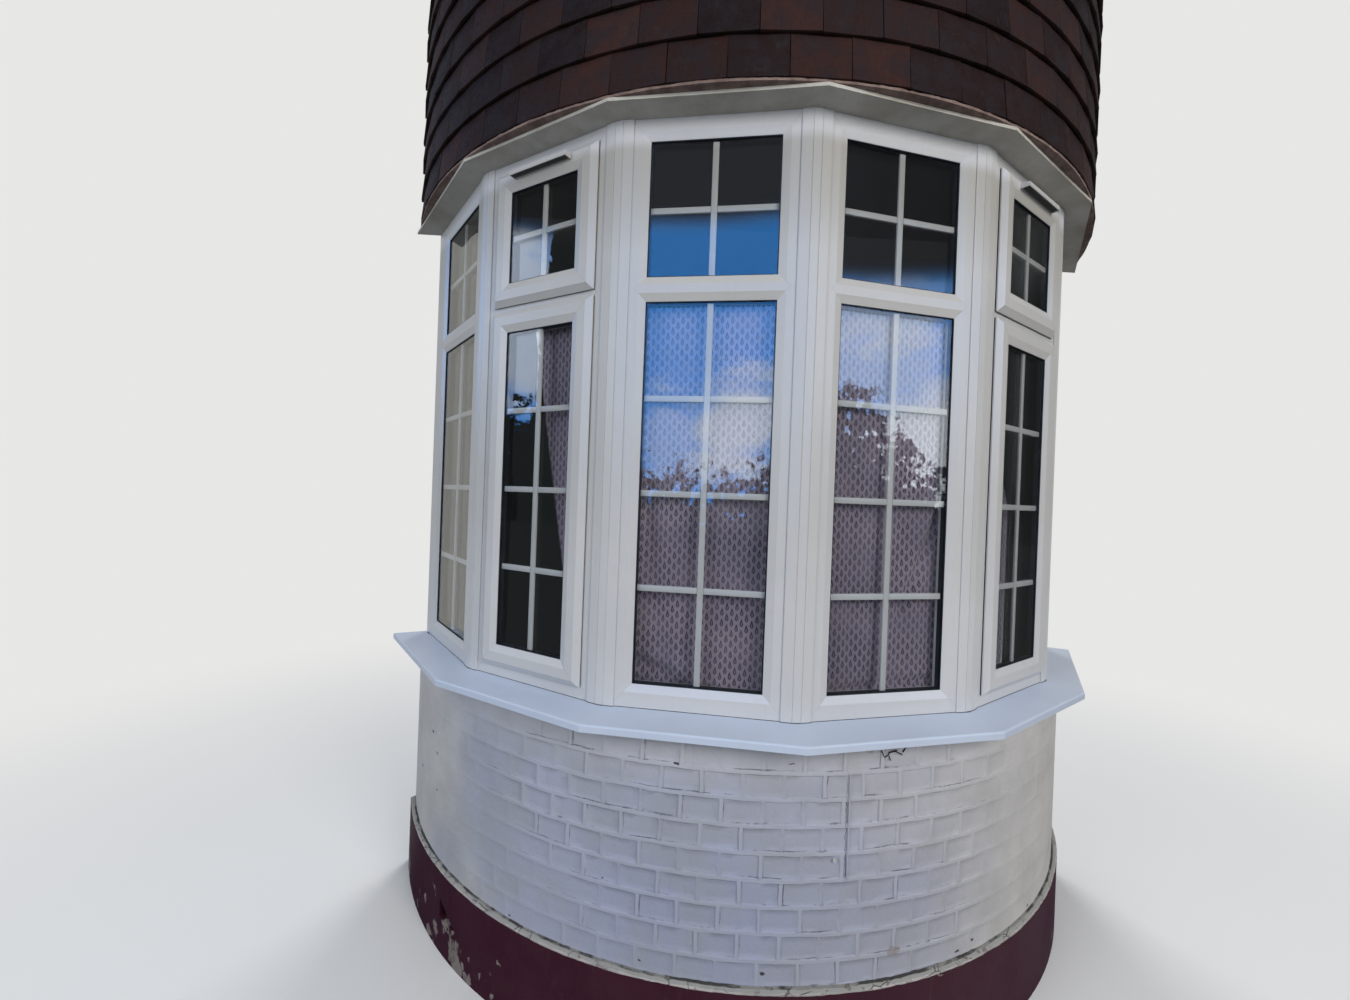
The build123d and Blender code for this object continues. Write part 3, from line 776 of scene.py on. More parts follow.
def painted_wood(coat):
    """Gloss paint on joinery, with faint brush marks along it."""
    strokes = noise(stretched(coat.place, (3.0, 60.0, 60.0)), 8.0, 4.0)
    tone = effect("Tone drift", coat.place, finishes.frame_white, finishes.plaster, 3.0, 0.5)["Colour"]
    return coat.paint(tone, strokes.ramp(0.3, 0.7, 0.3, 0.45), strokes, 0.0006)


def drawn_part(coat, tone, roughness, metallic):
    """Metal or moulded parts with fine upright scratches."""
    scratches = noise(stretched(coat.place, (300.0, 300.0, 6.0)), 3.0, 5.0)
    drifted = effect("Tone drift", coat.place, tone, shade(tone, 0.8), 8.0, 0.5)["Colour"]
    return coat.paint(drifted, scratches.ramp(0.3, 0.7, roughness - 0.08, roughness + 0.1), Metallic=metallic)


def window_glass(coat, tint, cloth_tint=None):
    """Window glass with faint dust and wiping marks. Light reaches what is behind it. Given a cloth tint, it is clear
    where the cloth hangs and tinted dark elsewhere, painted shade that stands in for the dark room.
    """
    place = coat.place
    if cloth_tint is not None:
        tint = mix(cloth_behind(place), tint, cloth_tint)
    wiped = noise(stretched(place, (3.0, 3.0, 1.0)), 5.0, 6.0, 0.65).ramp(0.5, 0.8, 0.0, 0.03)
    coat.paint(tint, wiped, noise(place, 2.2, 1.0), 0.0006, Transmission_Weight=1.0, IOR=1.42)
    path = put("ShaderNodeLightPath", tree=coat.tree)
    through = put("ShaderNodeBsdfTransparent", {"Color": (0.9, 0.9, 0.9)}, coat.tree)[0]
    lit = most(path["Is Shadow Ray"], path["Is Diffuse Ray"])
    return coat.show(mix_shaders(lit, Value(coat.shader.outputs[0]), through))


def cloth_behind(place):
    """Where the cloth hangs behind the glass. Its sides slant."""
    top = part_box("window_cloth")[1].z
    x, _, z = place.axes
    left = (x + z * 0.168).ramp(-0.4804, -0.4724)
    right = (x + most(z * 0.403, 0.678)).ramp(1.457, 1.449)
    return left * right * z.ramp(top + 0.03, top - 0.01)


def printed_cloth(coat):
    """Thin cotton with columns of small drops, printed over the weave."""
    flat = coat.coordinates["UV"]
    run, height, _ = flat.axes
    column = run / sizes.motif_width
    row = height / sizes.motif_height + column.floor() % 2.0 * 0.5
    across = abs(column.fraction() - 0.5)
    up = (row.fraction() - 0.10) / 0.78
    point, base = most(1.0 - up, 0.0) ** 0.75, up.ramp(0.0, 0.35) ** 0.5
    inside = point * base * 0.52 - across
    heart = inside.ramp(0.17, 0.27)
    drop = inside.ramp(-0.02, 0.06) * heart.ramp(0.0, 1.0, 1.0, 0.45)
    faded = drop * noise(flat, 9.0, 5.0).ramp(0.25, 0.7, 0.6, 1.0)
    ground = mix(noise(flat, 3.0, 4.0).ramp(0.3, 0.7), finishes.cloth, (0.36, 0.30, 0.40))
    weave = put("ShaderNodeTexBrick", {"Vector": flat, "Scale": 420.0, "Mortar Size": 0.03})["Fac"]
    return coat.paint(mix(faded, ground, finishes.motif), 0.9, weave, 0.0003, Sheen_Weight=0.25)


def finish(name):
    """A finish by its name, built the first time that it is asked for."""
    made = bpy.data.materials.get(f"bay_{name}")
    if made:
        return made
    maker, *values = {
        "masonry_paint": (masonry_paint,),
        "cut_brick": (cut_brick,),
        "plinth_paint": (plinth_paint,),
        "ledge_paint": (ledge_paint,),
        "tile_clay": (tile_clay,),
        "sawn_timber": (sawn_timber,),
        "painted_wood": (painted_wood,),
        "printed_cloth": (printed_cloth,),
        "soffit_paint": (plain_coat, finishes.soffit, (0.36, 0.335, 0.285), (7.0, 0.8),
                         (finishes.mortar, 0.5, 0.2, 16.0), (300.0, 45.0, 0.4), 0.0015, 0.75),
        "rough_mortar": (plain_coat, finishes.mortar, (0.30, 0.22, 0.19), (22.0, 0.8),
                         (finishes.soil, 0.7, 0.1, 40.0), (420.0, 110.0, 0.5), 0.005, 0.95),
        "wall_plaster": (plain_coat, finishes.plaster, (0.52, 0.50, 0.46), (2.5, 0.7), None,
                         (350.0, 30.0, 0.3), 0.0012, 0.85),
        "black_rubber": (plain_coat, finishes.seal, (0.03, 0.03, 0.032), (30.0, 0.6), None,
                         (900.0, 200.0, 0.5), 0.0004, 0.6),
        "frame_plastic": (window_plastic, finishes.frame_white, 0.10),
        # Sill plastic, with painted blue sky light in its colour.
        "sill_plastic": (window_plastic, finishes.sill_white_sky_light, 0.07),
        "weld_line": (window_plastic, shade(finishes.frame_white, 0.72), 0.10),
        "post_metal": (drawn_part, (0.60, 0.61, 0.62), 0.35, 1.0),
        "handle_metal": (drawn_part, (0.74, 0.74, 0.74), 0.3, 0.0),
        "vent_mesh": (drawn_part, finishes.vent_mesh, 0.55, 0.0),
        "outer_glass": (window_glass, finishes.glass_clear),
        # Room glass: painted shade of the dark room, clear where the cloth hangs.
        "room_glass": (window_glass, finishes.glass_room_shade, finishes.glass_clear),
    }[name]
    return maker(Coat(name), *values)


# The pieces

class BAY_OT_header_bricks(Operator):
    """Painted header bricks with raised joints round the curved wall"""
    bl_idname = "bay.header_bricks"
    bl_label = "Header bricks"
    laid_turn, kept_turn = math.radians(74), math.radians(73)
    # Waves and lumps: pattern size, depth and direction
    waves = {"bed_waves": (0.14, 0.0065, "Z"), "bed_ripples": (0.035, 0.0030, "Z"),
             "upright_waves": (0.06, 0.0060, "X"), "brick_lumps": (0.045, 0.0030, "Y"),
             "joint_lumps": (0.013, 0.0018, "Y")}

    def execute(self, context):
        low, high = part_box("brick_wall")
        columns = 2 * math.ceil(bay.brick_radius * self.laid_turn / sizes.header)
        courses = math.ceil((high.z - sizes.first_joint) / sizes.course) + 1
        wall = join([self.strip(course, columns) for course in range(-1, courses)], "header_bricks")
        self.raise_joints(wall)
        self.fill_uprights(wall)
        self.soften(wall, high.z)
        self.wrap(wall, low.z, high.z)
        self.thicken(wall, low.z, high.z)
        dress(smooth(wall, 50), "masonry_paint cut_brick", "wall_paint", "brick_wall")
        for face in wall.data.polygons:
            cut = face.normal.y > 0.99 and face.center.y > bay.wall_y - 0.001
            face.material_index = 1 if cut or face.normal.z < -0.99 else 0
        return {"FINISHED"}

    def strip(self, course, columns):
        """One flat course. Every other one is half a brick along."""
        clear_selection()
        bpy.ops.mesh.primitive_grid_add(x_subdivisions=columns, y_subdivisions=1, size=1)
        strip = named("course")
        strip.scale = (columns * sizes.header, sizes.course, 1)
        strip.rotation_euler.x = math.radians(90)
        shift = bay.brick_radius * sizes.first_perpend + (course % 2) * sizes.header / 2
        strip.location = (shift, 0, sizes.first_joint + (course + 0.5) * sizes.course)
        return settle(strip)

    def raise_joints(self, wall):
        """Sink each brick's face between its joints, a little unevenly, and make it fine enough to shape."""
        draw = random.Random(7)
        with editing(wall):
            bpy.ops.mesh.inset(thickness=sizes.joint_width / 2, use_individual=True)
            bpy.ops.mesh.inset(thickness=sizes.joint_slope, depth=-sizes.joint_stand, use_individual=True)
        for face in wall.data.polygons:
            if not face.select:
                continue
            tilt_x, tilt_z, sink = draw.gauss(0, 0.008), draw.gauss(0, 0.012), draw.gauss(0, 0.0005)
            for index in face.vertices:
                vertex = wall.data.vertices[index]
                reach = vertex.co - face.center
                vertex.co.y += tilt_x * reach.x + tilt_z * reach.z + sink
        with editing(wall):
            bpy.ops.mesh.subdivide(number_cuts=3)
            bpy.ops.mesh.remove_doubles(threshold=0.0002)

    def fill_uprights(self, wall):
        """Let old paint fill some of the upright joints, and keep each point's flat place for the paint."""
        points = read_points(wall)
        rows, columns = 24, 64
        draw = np.random.default_rng(5)
        shares = np.clip(2.4 * draw.uniform(0, 1, (rows, columns)) - 0.35, 0.06, 1)
        rise = (points[:, 2] - sizes.first_joint) / sizes.course
        course = np.floor(rise).astype(int)
        along = (points[:, 0] - bay.brick_radius * sizes.first_perpend) / sizes.header - (course % 2) * 0.5
        column = np.rint(along).astype(int)
        shown = shares[course % rows, column % columns]
        off_upright = np.abs(along - column) * sizes.header
        off_bed = np.abs(rise - np.rint(rise)) * sizes.course
        reach = sizes.joint_width / 2 + sizes.joint_slope
        near = (np.clip((reach + 0.004 - off_upright) / 0.003, 0, 1)
                * np.clip((off_bed - reach + 0.003) / 0.004, 0, 1))
        flat = np.column_stack((points[:, 0], shown, points[:, 2]))
        points[:, 1] += (1 - shown) * near * np.clip(sizes.joint_stand - points[:, 1], 0, None)
        write_points(wall, points)
        kept = wall.data.attributes.new("joint_place", "FLOAT_VECTOR", "POINT")
        kept.data.foreach_set("vector", flat.ravel())

    def soften(self, wall, top):
        """Wave the joints, lump the paint, and let the joints fade at the sides and under the sill."""
        for name, (size, depth, direction) in self.waves.items():
            roughen(wall, name, size, depth, direction)
        points = read_points(wall)
        height = points[:, 2]
        turn = np.degrees(points[:, 0] / bay.brick_radius)
        side = np.clip(np.minimum((46 + turn) / 24, (31 - turn) / 19), 0.12, 1)
        low_left = np.clip((height + 0.0125 * turn - 0.02) / 0.30, 0.35, 1)
        under_sill = np.clip((top - 0.012 - height) / 0.05, 0.3, 1)
        patchy = 0.78 + 0.34 * np.sin(turn * 0.61 + 1.3) * np.sin(height * 9.1 + turn * 0.13)
        points[:, 1] *= side * low_left * under_sill * patchy
        points[:, 1] -= 0.0008
        write_points(wall, points)

    def wrap(self, wall, bottom, top):
        """Trim the flat courses, bend them round the bay and move them to its front."""
        half_run = bay.brick_radius * self.kept_turn
        with editing(wall):
            for place, way_out in (((0, 0, bottom), (0, 0, -1)), ((0, 0, top), (0, 0, 1)),
                                   ((-half_run, 0, 0), (-1, 0, 0)), ((half_run, 0, 0), (1, 0, 0))):
                bpy.ops.mesh.select_all(action="SELECT")
                bpy.ops.mesh.bisect(plane_co=place, plane_no=way_out, clear_outer=True)
        use_modifier(wall, "SIMPLE_DEFORM", deform_method="BEND", deform_axis="Z",
                     angle=2 * half_run / bay.brick_radius)
        wall.location.y = bay.centre_y - bay.brick_radius
        settle(wall)

    def thicken(self, wall, bottom, top):
        """Close the skin into a wall that reaches back to the lining, cut flat at the house."""
        gap = 0.0003
        share = 1 - (bay.brick_radius - bay.radius("wall_lining") - gap) / bay.brick_radius
        between = bay.brick_radius * (1 + share) / 2

        def inner_rim(edge):
            ends = [vertex.co for vertex in edge.verts]
            inside = all(Vector((end.x, end.y - bay.centre_y)).length < between for end in ends)
            return inside and any(max(abs(end.z - level) for end in ends) < 0.0005 for level in (bottom, top))

        with editing(wall, "EDGE"):
            bpy.ops.mesh.select_all(action="DESELECT")
            bpy.ops.mesh.select_non_manifold(extend=False, use_wire=False, use_multi_face=False,
                                             use_non_contiguous=False, use_verts=False)
            bpy.ops.mesh.extrude_edges_move()
            bpy.ops.transform.resize(value=(share, share, 1), center_override=(0, bay.centre_y, 0))
            select_parts("EDGE", inner_rim)
            bpy.ops.mesh.bridge_edge_loops()
        cut_at_wall(wall)
        with editing(wall):
            bpy.ops.mesh.normals_make_consistent(inside=False)


class BAY_OT_wall_damage(Operator):
    """Painted bead, plug and cracks on the wall"""
    bl_idname = "bay.wall_damage"
    bl_label = "Wall damage"
    # Cracks: degrees from the front, height, tilt in degrees and run
    cracks = ((9.4, 0.951, 62, 0.020), (9.9, 0.944, -35, 0.018), (10.6, 0.955, -12, 0.026),
              (11.4, 0.949, 25, 0.022), (12.0, 0.957, -55, 0.016), (10.3, 0.936, 75, 0.014))

    # How far the joints' tops stand out, and where the bead and the plug are
    joint_tops = 0.0022
    bead_turn, bead_foot, bead_top = math.radians(5.80), 0.591, 0.895
    plug_turn, plug_height = math.radians(4.4), 0.651

    def execute(self, context):
        draw = random.Random(11)
        skin = bay.brick_radius + self.joint_tops
        bead = self.scar(self.bead_turn, skin, self.bead_foot, self.bead_top)
        dress(smooth(bead), "masonry_paint", "wall_paint")
        strips = [self.crack(math.radians(turn), skin, height, tilt, run, draw)
                  for turn, height, tilt, run in self.cracks]
        dress(smooth(join(strips, "wall_cracks")), "black_rubber", "seal_rubber")
        dress(self.plug(self.plug_turn, skin, self.plug_height), "frame_plastic", "frame_plastic")
        return {"FINISHED"}

    def scar(self, turn, radius, bottom, top):
        """A narrow painted bead that runs up the wall."""
        half = 0.00225
        bead = bar((-half, -0.0012, bottom), (half, 0.004, top), 0.0008)
        bead.name = bead.data.name = "wall_scar"
        with editing(bead, "VERT"):
            bpy.ops.mesh.subdivide(number_cuts=12)
        roughen(bead, "scar_edge", 0.03, 0.0016, "X")
        return moved(bead, bay.turned(turn, radius))

    def crack(self, turn, radius, height, tilt, run, draw):
        """A short jagged crack."""
        strip = bar((-run / 2, -0.0006, -0.0008), (run / 2, 0.003, 0.0008))
        with editing(strip, "VERT"):
            bpy.ops.mesh.subdivide(number_cuts=6, fractal=1.4, seed=draw.randrange(1000))
        return moved(strip, Matrix.Rotation(math.radians(tilt), 4, "Y"), bay.turned(turn, radius, height))

    def plug(self, turn, radius, height):
        """A wall plug that stands a little proud, with its hole."""
        clear_selection()
        bpy.ops.mesh.primitive_cylinder_add(vertices=24, radius=0.006, depth=0.006,
                                            rotation=(math.radians(90), 0, 0))
        plug = settle(named("wall_plug"))
        with editing(plug):
            select_parts("FACE", lambda face: face.normal.y < -0.9)
            bpy.ops.mesh.inset(thickness=0.0022)
            bpy.ops.mesh.extrude_region_move(TRANSFORM_OT_translate={"value": (0, 0.004, 0)})
        use_modifier(plug, "BEVEL", width=0.0006, segments=2, limit_method="ANGLE")
        return smooth(moved(plug, bay.turned(turn, radius, height)))


def ring_of(name, outline, steps, spare_degrees=6):
    """A closed section in radius and height, spun round the front of the bay past the house wall."""
    half = math.radians(90 - math.degrees(math.asin((bay.centre_y - bay.wall_y) / outline[0][0])) + spare_degrees)
    clear_selection()
    bpy.ops.mesh.primitive_circle_add(vertices=len(outline), radius=1)
    ring = named(name)
    for vertex, (radius, height) in zip(ring.data.vertices, outline):
        vertex.co = (radius * math.sin(-half), bay.centre_y - radius * math.cos(half), height)
    with editing(ring, "VERT"):
        bpy.ops.mesh.spin(steps=steps, angle=-2 * half, center=(0, bay.centre_y, 0), axis=(0, 0, 1))
    return point_out(ring)


def divided(outline, pieces):
    """Put even points on each side of an outline."""
    points = []
    for index, (radius, height) in enumerate(outline):
        next_radius, next_height = outline[(index + 1) % len(outline)]
        for step in range(pieces):
            share = step / pieces
            points.append((radius + (next_radius - radius) * share, height + (next_height - height) * share))
    return points


def rough_ring(name, outline, steps, lumps):
    """A spun ring with lumps of each size and depth, cut flat at the house wall."""
    ring = ring_of(name, divided(outline, 4), steps)
    for label, (size, depth) in lumps.items():
        roughen(ring, label, size, depth)
    return point_out(cut_at_wall(ring))


class BAY_OT_mortar_ledge(Operator):
    """Sloped mortar ledge on top of the plinth"""
    bl_idname = "bay.mortar_ledge"
    bl_label = "Mortar ledge"
    lip, rise, gap = 0.003, 0.011, 0.0003

    def execute(self, context):
        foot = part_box("plinth_ledge")[0].z
        inner, outer = bay.brick_radius + self.gap, bay.radius("plinth_ledge") - 0.0012
        outline = [(inner, foot), (outer, foot), (outer, foot + self.lip), (inner, foot + self.rise)]
        ledge = rough_ring("mortar_ledge", outline, 420, {"ledge_lumps": (0.022, sizes.ledge_lump),
                                                          "ledge_waves": (0.11, sizes.ledge_lump)})
        dress(smooth(ledge, 60), "ledge_paint", "ledge_paint", "plinth_ledge")
        return {"FINISHED"}


class BAY_OT_plinth(Operator):
    """Finish of the rendered plinth"""
    bl_idname = "bay.plinth"
    bl_label = "Plinth"

    def execute(self, context):
        dress_nodes("plinth_paint", "plinth")
        return {"FINISHED"}


class BAY_OT_frames(Operator):
    """Finish of the frames, sashes, covers and sill, with their welds and joint"""
    bl_idname = "bay.frames"
    bl_label = "Frames and sill"
    sash_kinds = ("casement_sash", "fanlight_sash")
    cover_reach = 0.046
    cover_stand = 0.004
    joint_half = 0.0007
    joint_height = 0.0014

    def execute(self, context):
        plastic = ["end_post_left", "end_post_right", "glazing_beads", "inner_post_covers"]
        for kind in ("frame", "post_cover", "trickle_vent", *self.sash_kinds):
            plastic += [f"{kind}_{number}" for number in bay.numbers if f"{kind}_{number}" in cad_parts]
        dress_nodes("frame_plastic", *plastic)
        dress_nodes("sill_plastic", *[f"sill_{number}" for number in bay.numbers])
        dress_nodes("black_rubber", "sash_seals")
        dress_nodes("handle_metal", "window_handles", "cloth_rail")
        dress_nodes("post_metal", "bay_posts")
        self.sill_joint()
        self.weld_lines()
        return {"FINISHED"}

    def sill_joint(self):
        """Thin dark joint along the foot of the frames and round the foot of the covers."""
        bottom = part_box("frame_1")[0].z - 0.0002
        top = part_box("frame_1")[0].z + self.joint_height
        half = sizes.facet_length / 2
        cover = half - self.cover_reach
        line = bar((-cover, -self.joint_half, bottom), (cover, 0.002, top))
        toe = self.joint_half + self.cover_stand
        ends = [bar((side * cover, -toe, bottom), (side * half, -toe + 0.002, top)) for side in (-1, 1)]
        whole = join([line, *ends], "joint_line")
        joint = spread(whole, [bay.facet(number) for number in bay.numbers], "sill_joint")
        dress(cut_at_wall(point_out(joint)), "black_rubber", "seal_rubber")

    def weld_lines(self):
        """Thin lines where the lengths of the frames and sashes are welded at their corners."""
        strips = []
        for number in bay.numbers:
            for kind in ("frame", *self.sash_kinds):
                if f"{kind}_{number}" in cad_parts:
                    strips += self.node_welds(f"{kind}_{number}", number)
        dress(join(strips, "frame_welds"), "weld_line", "frame_plastic")

    def node_welds(self, name, number):
        """Lines from the corners of a node's openings outwards, on its front face."""
        corners = node_corners(name, number)
        front = min(corner.y for corner in corners)
        face = [corner for corner in corners if corner.y < front + 0.0001]
        across = sorted({round(corner.x, 4) for corner in face})
        levels = sorted({round(corner.z, 4) for corner in face})
        edge = sizes.facet_length / 2 - self.cover_reach
        strips = []
        for index in range(1, len(levels) - 1, 2):
            for level, way in ((levels[index], -1), (levels[index + 1], 1)):
                beyond = levels[index - 1] if way < 0 else levels[index + 2]
                outermost = beyond in (levels[0], levels[-1])
                rise = abs(beyond - level) if outermost else abs(beyond - level) / 2
                reach = across[1] - across[0] if outermost else rise
                share = min(1, (edge - across[-2]) / reach)
                for side in (-1, 1):
                    start = Vector((side * across[-2], front, level))
                    strips.append(self.weld(start, share * Vector((side * reach, 0, way * rise)), number))
        return strips

    def weld(self, start, line, number):
        """One thin line along a face."""
        end = start + line
        line = end - start
        strip = bar((0, -0.00015, -0.0004), (line.length, 0.001, 0.0004))
        return moved(strip, Matrix.Rotation(-math.atan2(line.z, line.x), 4, "Y"),
                     bay.facet(number) @ Matrix.Translation(start))


class BAY_OT_glazing(Operator):
    """Sealed glass: panes, black spacers, gaskets and white bars"""
    bl_idname = "bay.glazing"
    bl_label = "Glazing"
    # How far the frame covers the glass, and the bars' rows in the lower and the upper light
    cover = 0.012
    rows = (4, 2)
    gap = 0.0003

    def execute(self, context):
        spacers, gaskets, bars = [], [], []
        for number in bay.numbers:
            place = bay.facet(number)
            lights = lights_of(number)
            panes = [self.pane(light, depth, place) for light in lights for depth in (0, sizes.pane + sizes.cavity)]
            for light, rows in zip(lights, self.rows):
                spacers.append(self.spacer(light, place))
                gaskets.append(self.gasket(light, place))
                bars += self.bars(light, rows, place)
            piece = join(panes, f"panes_{number}")
            dress(piece, "outer_glass room_glass", "glass", f"glazing_{number}")
            self.part_panes(piece, lights, place.inverted())
        dress(join(spacers, "glass_spacers"), "black_rubber", "seal_rubber")
        dress(join(gaskets, "glass_gaskets"), "black_rubber", "seal_rubber")
        dress(smooth(join(bars, "glazing_bars")), "frame_plastic", "frame_plastic")
        return {"FINISHED"}

    def part_panes(self, piece, lights, back):
        """Give the panes on the room's side their own glass."""
        lower, upper = lights
        for face in piece.data.polygons:
            light = lower if face.center.z < (lower.top + upper.bottom) / 2 else upper
            middle = light.outer + sizes.pane + sizes.cavity / 2
            face.material_index = 1 if (back @ face.center).y > middle else 0

    def pane(self, light, depth, place):
        low = (light.left, light.outer + depth, light.bottom)
        high = (light.right, light.outer + depth + sizes.pane, light.top)
        return moved(bar(low, high, 0.0006, 1), place)

    def edge_ring(self, light, outer, inner, front, back, place):
        """A flat ring round the edge of a light, between two insets."""
        clear_selection()
        bpy.ops.mesh.primitive_plane_add(size=1, rotation=(math.radians(90), 0, 0))
        ring = named("ring")
        ring.scale = (light.width - 2 * outer, light.height - 2 * outer, 1)
        ring.location = ((light.left + light.right) / 2, front, (light.bottom + light.top) / 2)
        settle(ring)
        with editing(ring):
            bpy.ops.mesh.inset(thickness=inner - outer)
            bpy.ops.mesh.delete(type="FACE")
            bpy.ops.mesh.select_all(action="SELECT")
            bpy.ops.mesh.extrude_region_move(TRANSFORM_OT_translate={"value": (0, back - front, 0)})
            bpy.ops.mesh.select_all(action="SELECT")
            bpy.ops.mesh.normals_make_consistent(inside=False)
        return moved(ring, place)

    def spacer(self, light, place):
        front = light.outer + sizes.pane
        return self.edge_ring(light, 0.004, self.cover + 0.004, front + self.gap,
                              front + sizes.cavity - self.gap, place)

    def gasket(self, light, place):
        front = light.outer - self.gap
        return self.edge_ring(light, self.cover + 0.0002, self.cover + 0.0024, front - 0.0028, front, place)

    def bars(self, light, rows, place):
        """One upright bar and the cross bars, which stop against it."""
        middle = (light.left + light.right) / 2
        front = light.outer + sizes.pane + (sizes.cavity - sizes.bar_depth) / 2
        back = front + sizes.bar_depth
        half = sizes.bar_width / 2
        sight = self.cover + 0.002
        ends = [(middle - half, light.bottom + sight, middle + half, light.top - sight)]
        for row in range(1, rows):
            height = light.bottom + sight + (light.height - 2 * sight) * row / rows
            ends.append((light.left + sight, height - half, middle - half, height + half))
            ends.append((middle + half, height - half, light.right - sight, height + half))
        return [moved(bar((left, front, bottom), (right, back, top), 0.0022), place)
                for left, bottom, right, top in ends]


class BAY_OT_vent_grilles(Operator):
    """Dark louvres under the hoods of the trickle vents"""
    bl_idname = "bay.vent_grilles"
    bl_label = "Vent grilles"
    ribs, rails = 40, 5
    wall, rib = 0.0033, 0.0006

    def execute(self, context):
        slats = []
        for number in bay.numbers:
            name = f"trickle_vent_{number}"
            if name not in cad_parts:
                continue
            low, high = box_of(node_corners(name, number))
            left, right = low.x + self.wall, high.x - self.wall
            front, back = low.y + self.wall, high.y - self.wall
            made = [bar((left, front, low.z + 0.0062), (right, back, low.z + 0.0074))]
            for index in range(1, self.ribs):
                middle = left + (right - left) * index / self.ribs
                made.append(bar((middle - self.rib, front, low.z + 0.0035), (middle + self.rib, back, low.z + 0.0062)))
            for index in range(1, self.rails):
                middle = front + (back - front) * index / self.rails
                made.append(bar((left, middle - self.rib, low.z + 0.0015), (right, middle + self.rib, low.z + 0.0035)))
            slats += [moved(piece, bay.facet(number)) for piece in made]
        dress(join(slats, "vent_grilles"), "vent_mesh", "frame_plastic")
        return {"FINISHED"}


class BAY_OT_hung_tiles(Operator):
    """Courses of plain clay tiles hung round the apron"""
    bl_idname = "bay.hung_tiles"
    bl_label = "Hung tiles"
    first_turn = -3.8
    tiles_each_side = 13
    gap = 0.0025

    def execute(self, context):
        low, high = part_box("tile_hanging")
        radius = bay.radius("tile_hanging")
        step = math.degrees(sizes.tile_width / radius)
        draw = random.Random(3)
        for course in range(round((high.z - low.z) / sizes.tile_gauge)):
            foot = low.z + course * sizes.tile_gauge
            length = min(sizes.tile_length, high.z - foot - 0.001)
            first = self.first_turn if course % 2 == 0 else self.first_turn - step / 2
            tiles = [self.tile(first + index * step + step / 2, radius, foot, length, draw)
                     for index in range(-self.tiles_each_side, self.tiles_each_side + 1)]
            piece = cut_at_wall(join(tiles, f"tile_course_{course + 1}"))
            dress(smooth(piece, 40), "tile_clay", "tile", *(["tile_hanging"] if course == 0 else []))
        return {"FINISHED"}

    def tile(self, turn, radius, foot, length, draw):
        """One tile, leaning out at its foot, a little out of line with its neighbours."""
        half = (sizes.tile_width - self.gap) / 2
        tile = bar((-half, 0, 0), (half, sizes.tile_thickness, length), 0.0012)
        lean = sizes.tile_tilt + math.radians(draw.gauss(0, 0.25))
        slant = math.radians(draw.gauss(0, 0.25))
        stand = abs(draw.gauss(0, 0.0006))
        setback = radius - (radius ** 2 - half ** 2) ** 0.5
        lift = draw.gauss(0, 0.0007) + 0.0008
        moved(tile, Matrix.Rotation(-lean, 4, "X"), Matrix.Rotation(slant, 4, "Y"),
              bay.turned(math.radians(turn), radius - 0.0006 - setback - stand, foot + abs(lift)))
        tone = tile.data.attributes.new("tile_tone", "FLOAT", "POINT")
        tone.data.foreach_set("value", [draw.random() ** 1.5] * len(tile.data.vertices))
        return tile


class BAY_OT_mortar_bed(Operator):
    """Rough mortar between the soffit and the lowest tiles"""
    bl_idname = "bay.mortar_bed"
    bl_label = "Mortar bed"
    width, spare = 0.034, 0.0008

    def execute(self, context):
        low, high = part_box("mortar_bed")
        outer = bay.radius("mortar_bed") - 0.002
        inner = outer - self.width
        bottom, top = low.z + self.spare, high.z - self.spare
        bed = rough_ring("rough_mortar", [(inner, bottom), (outer, bottom), (outer, top), (inner, top)], 360,
                         {"mortar_lumps": (0.012, 0.0036), "mortar_waves": (0.05, 0.004)})
        dress(smooth(bed, 70), "rough_mortar", "mortar", "mortar_bed")
        return {"FINISHED"}


class BAY_OT_head(Operator):
    """Finish of the soffit, the head plate, the apron, the deck and the room's linings"""
    bl_idname = "bay.head"
    bl_label = "Head of the bay"

    def execute(self, context):
        dress_nodes("soffit_paint", "soffit_board")
        dress_nodes("painted_wood", "head_plate", "window_board")
        dress_nodes("sawn_timber", "apron_wall", "top_deck")
        dress_nodes("wall_plaster", "ceiling_board", "wall_lining")
        return {"FINISHED"}


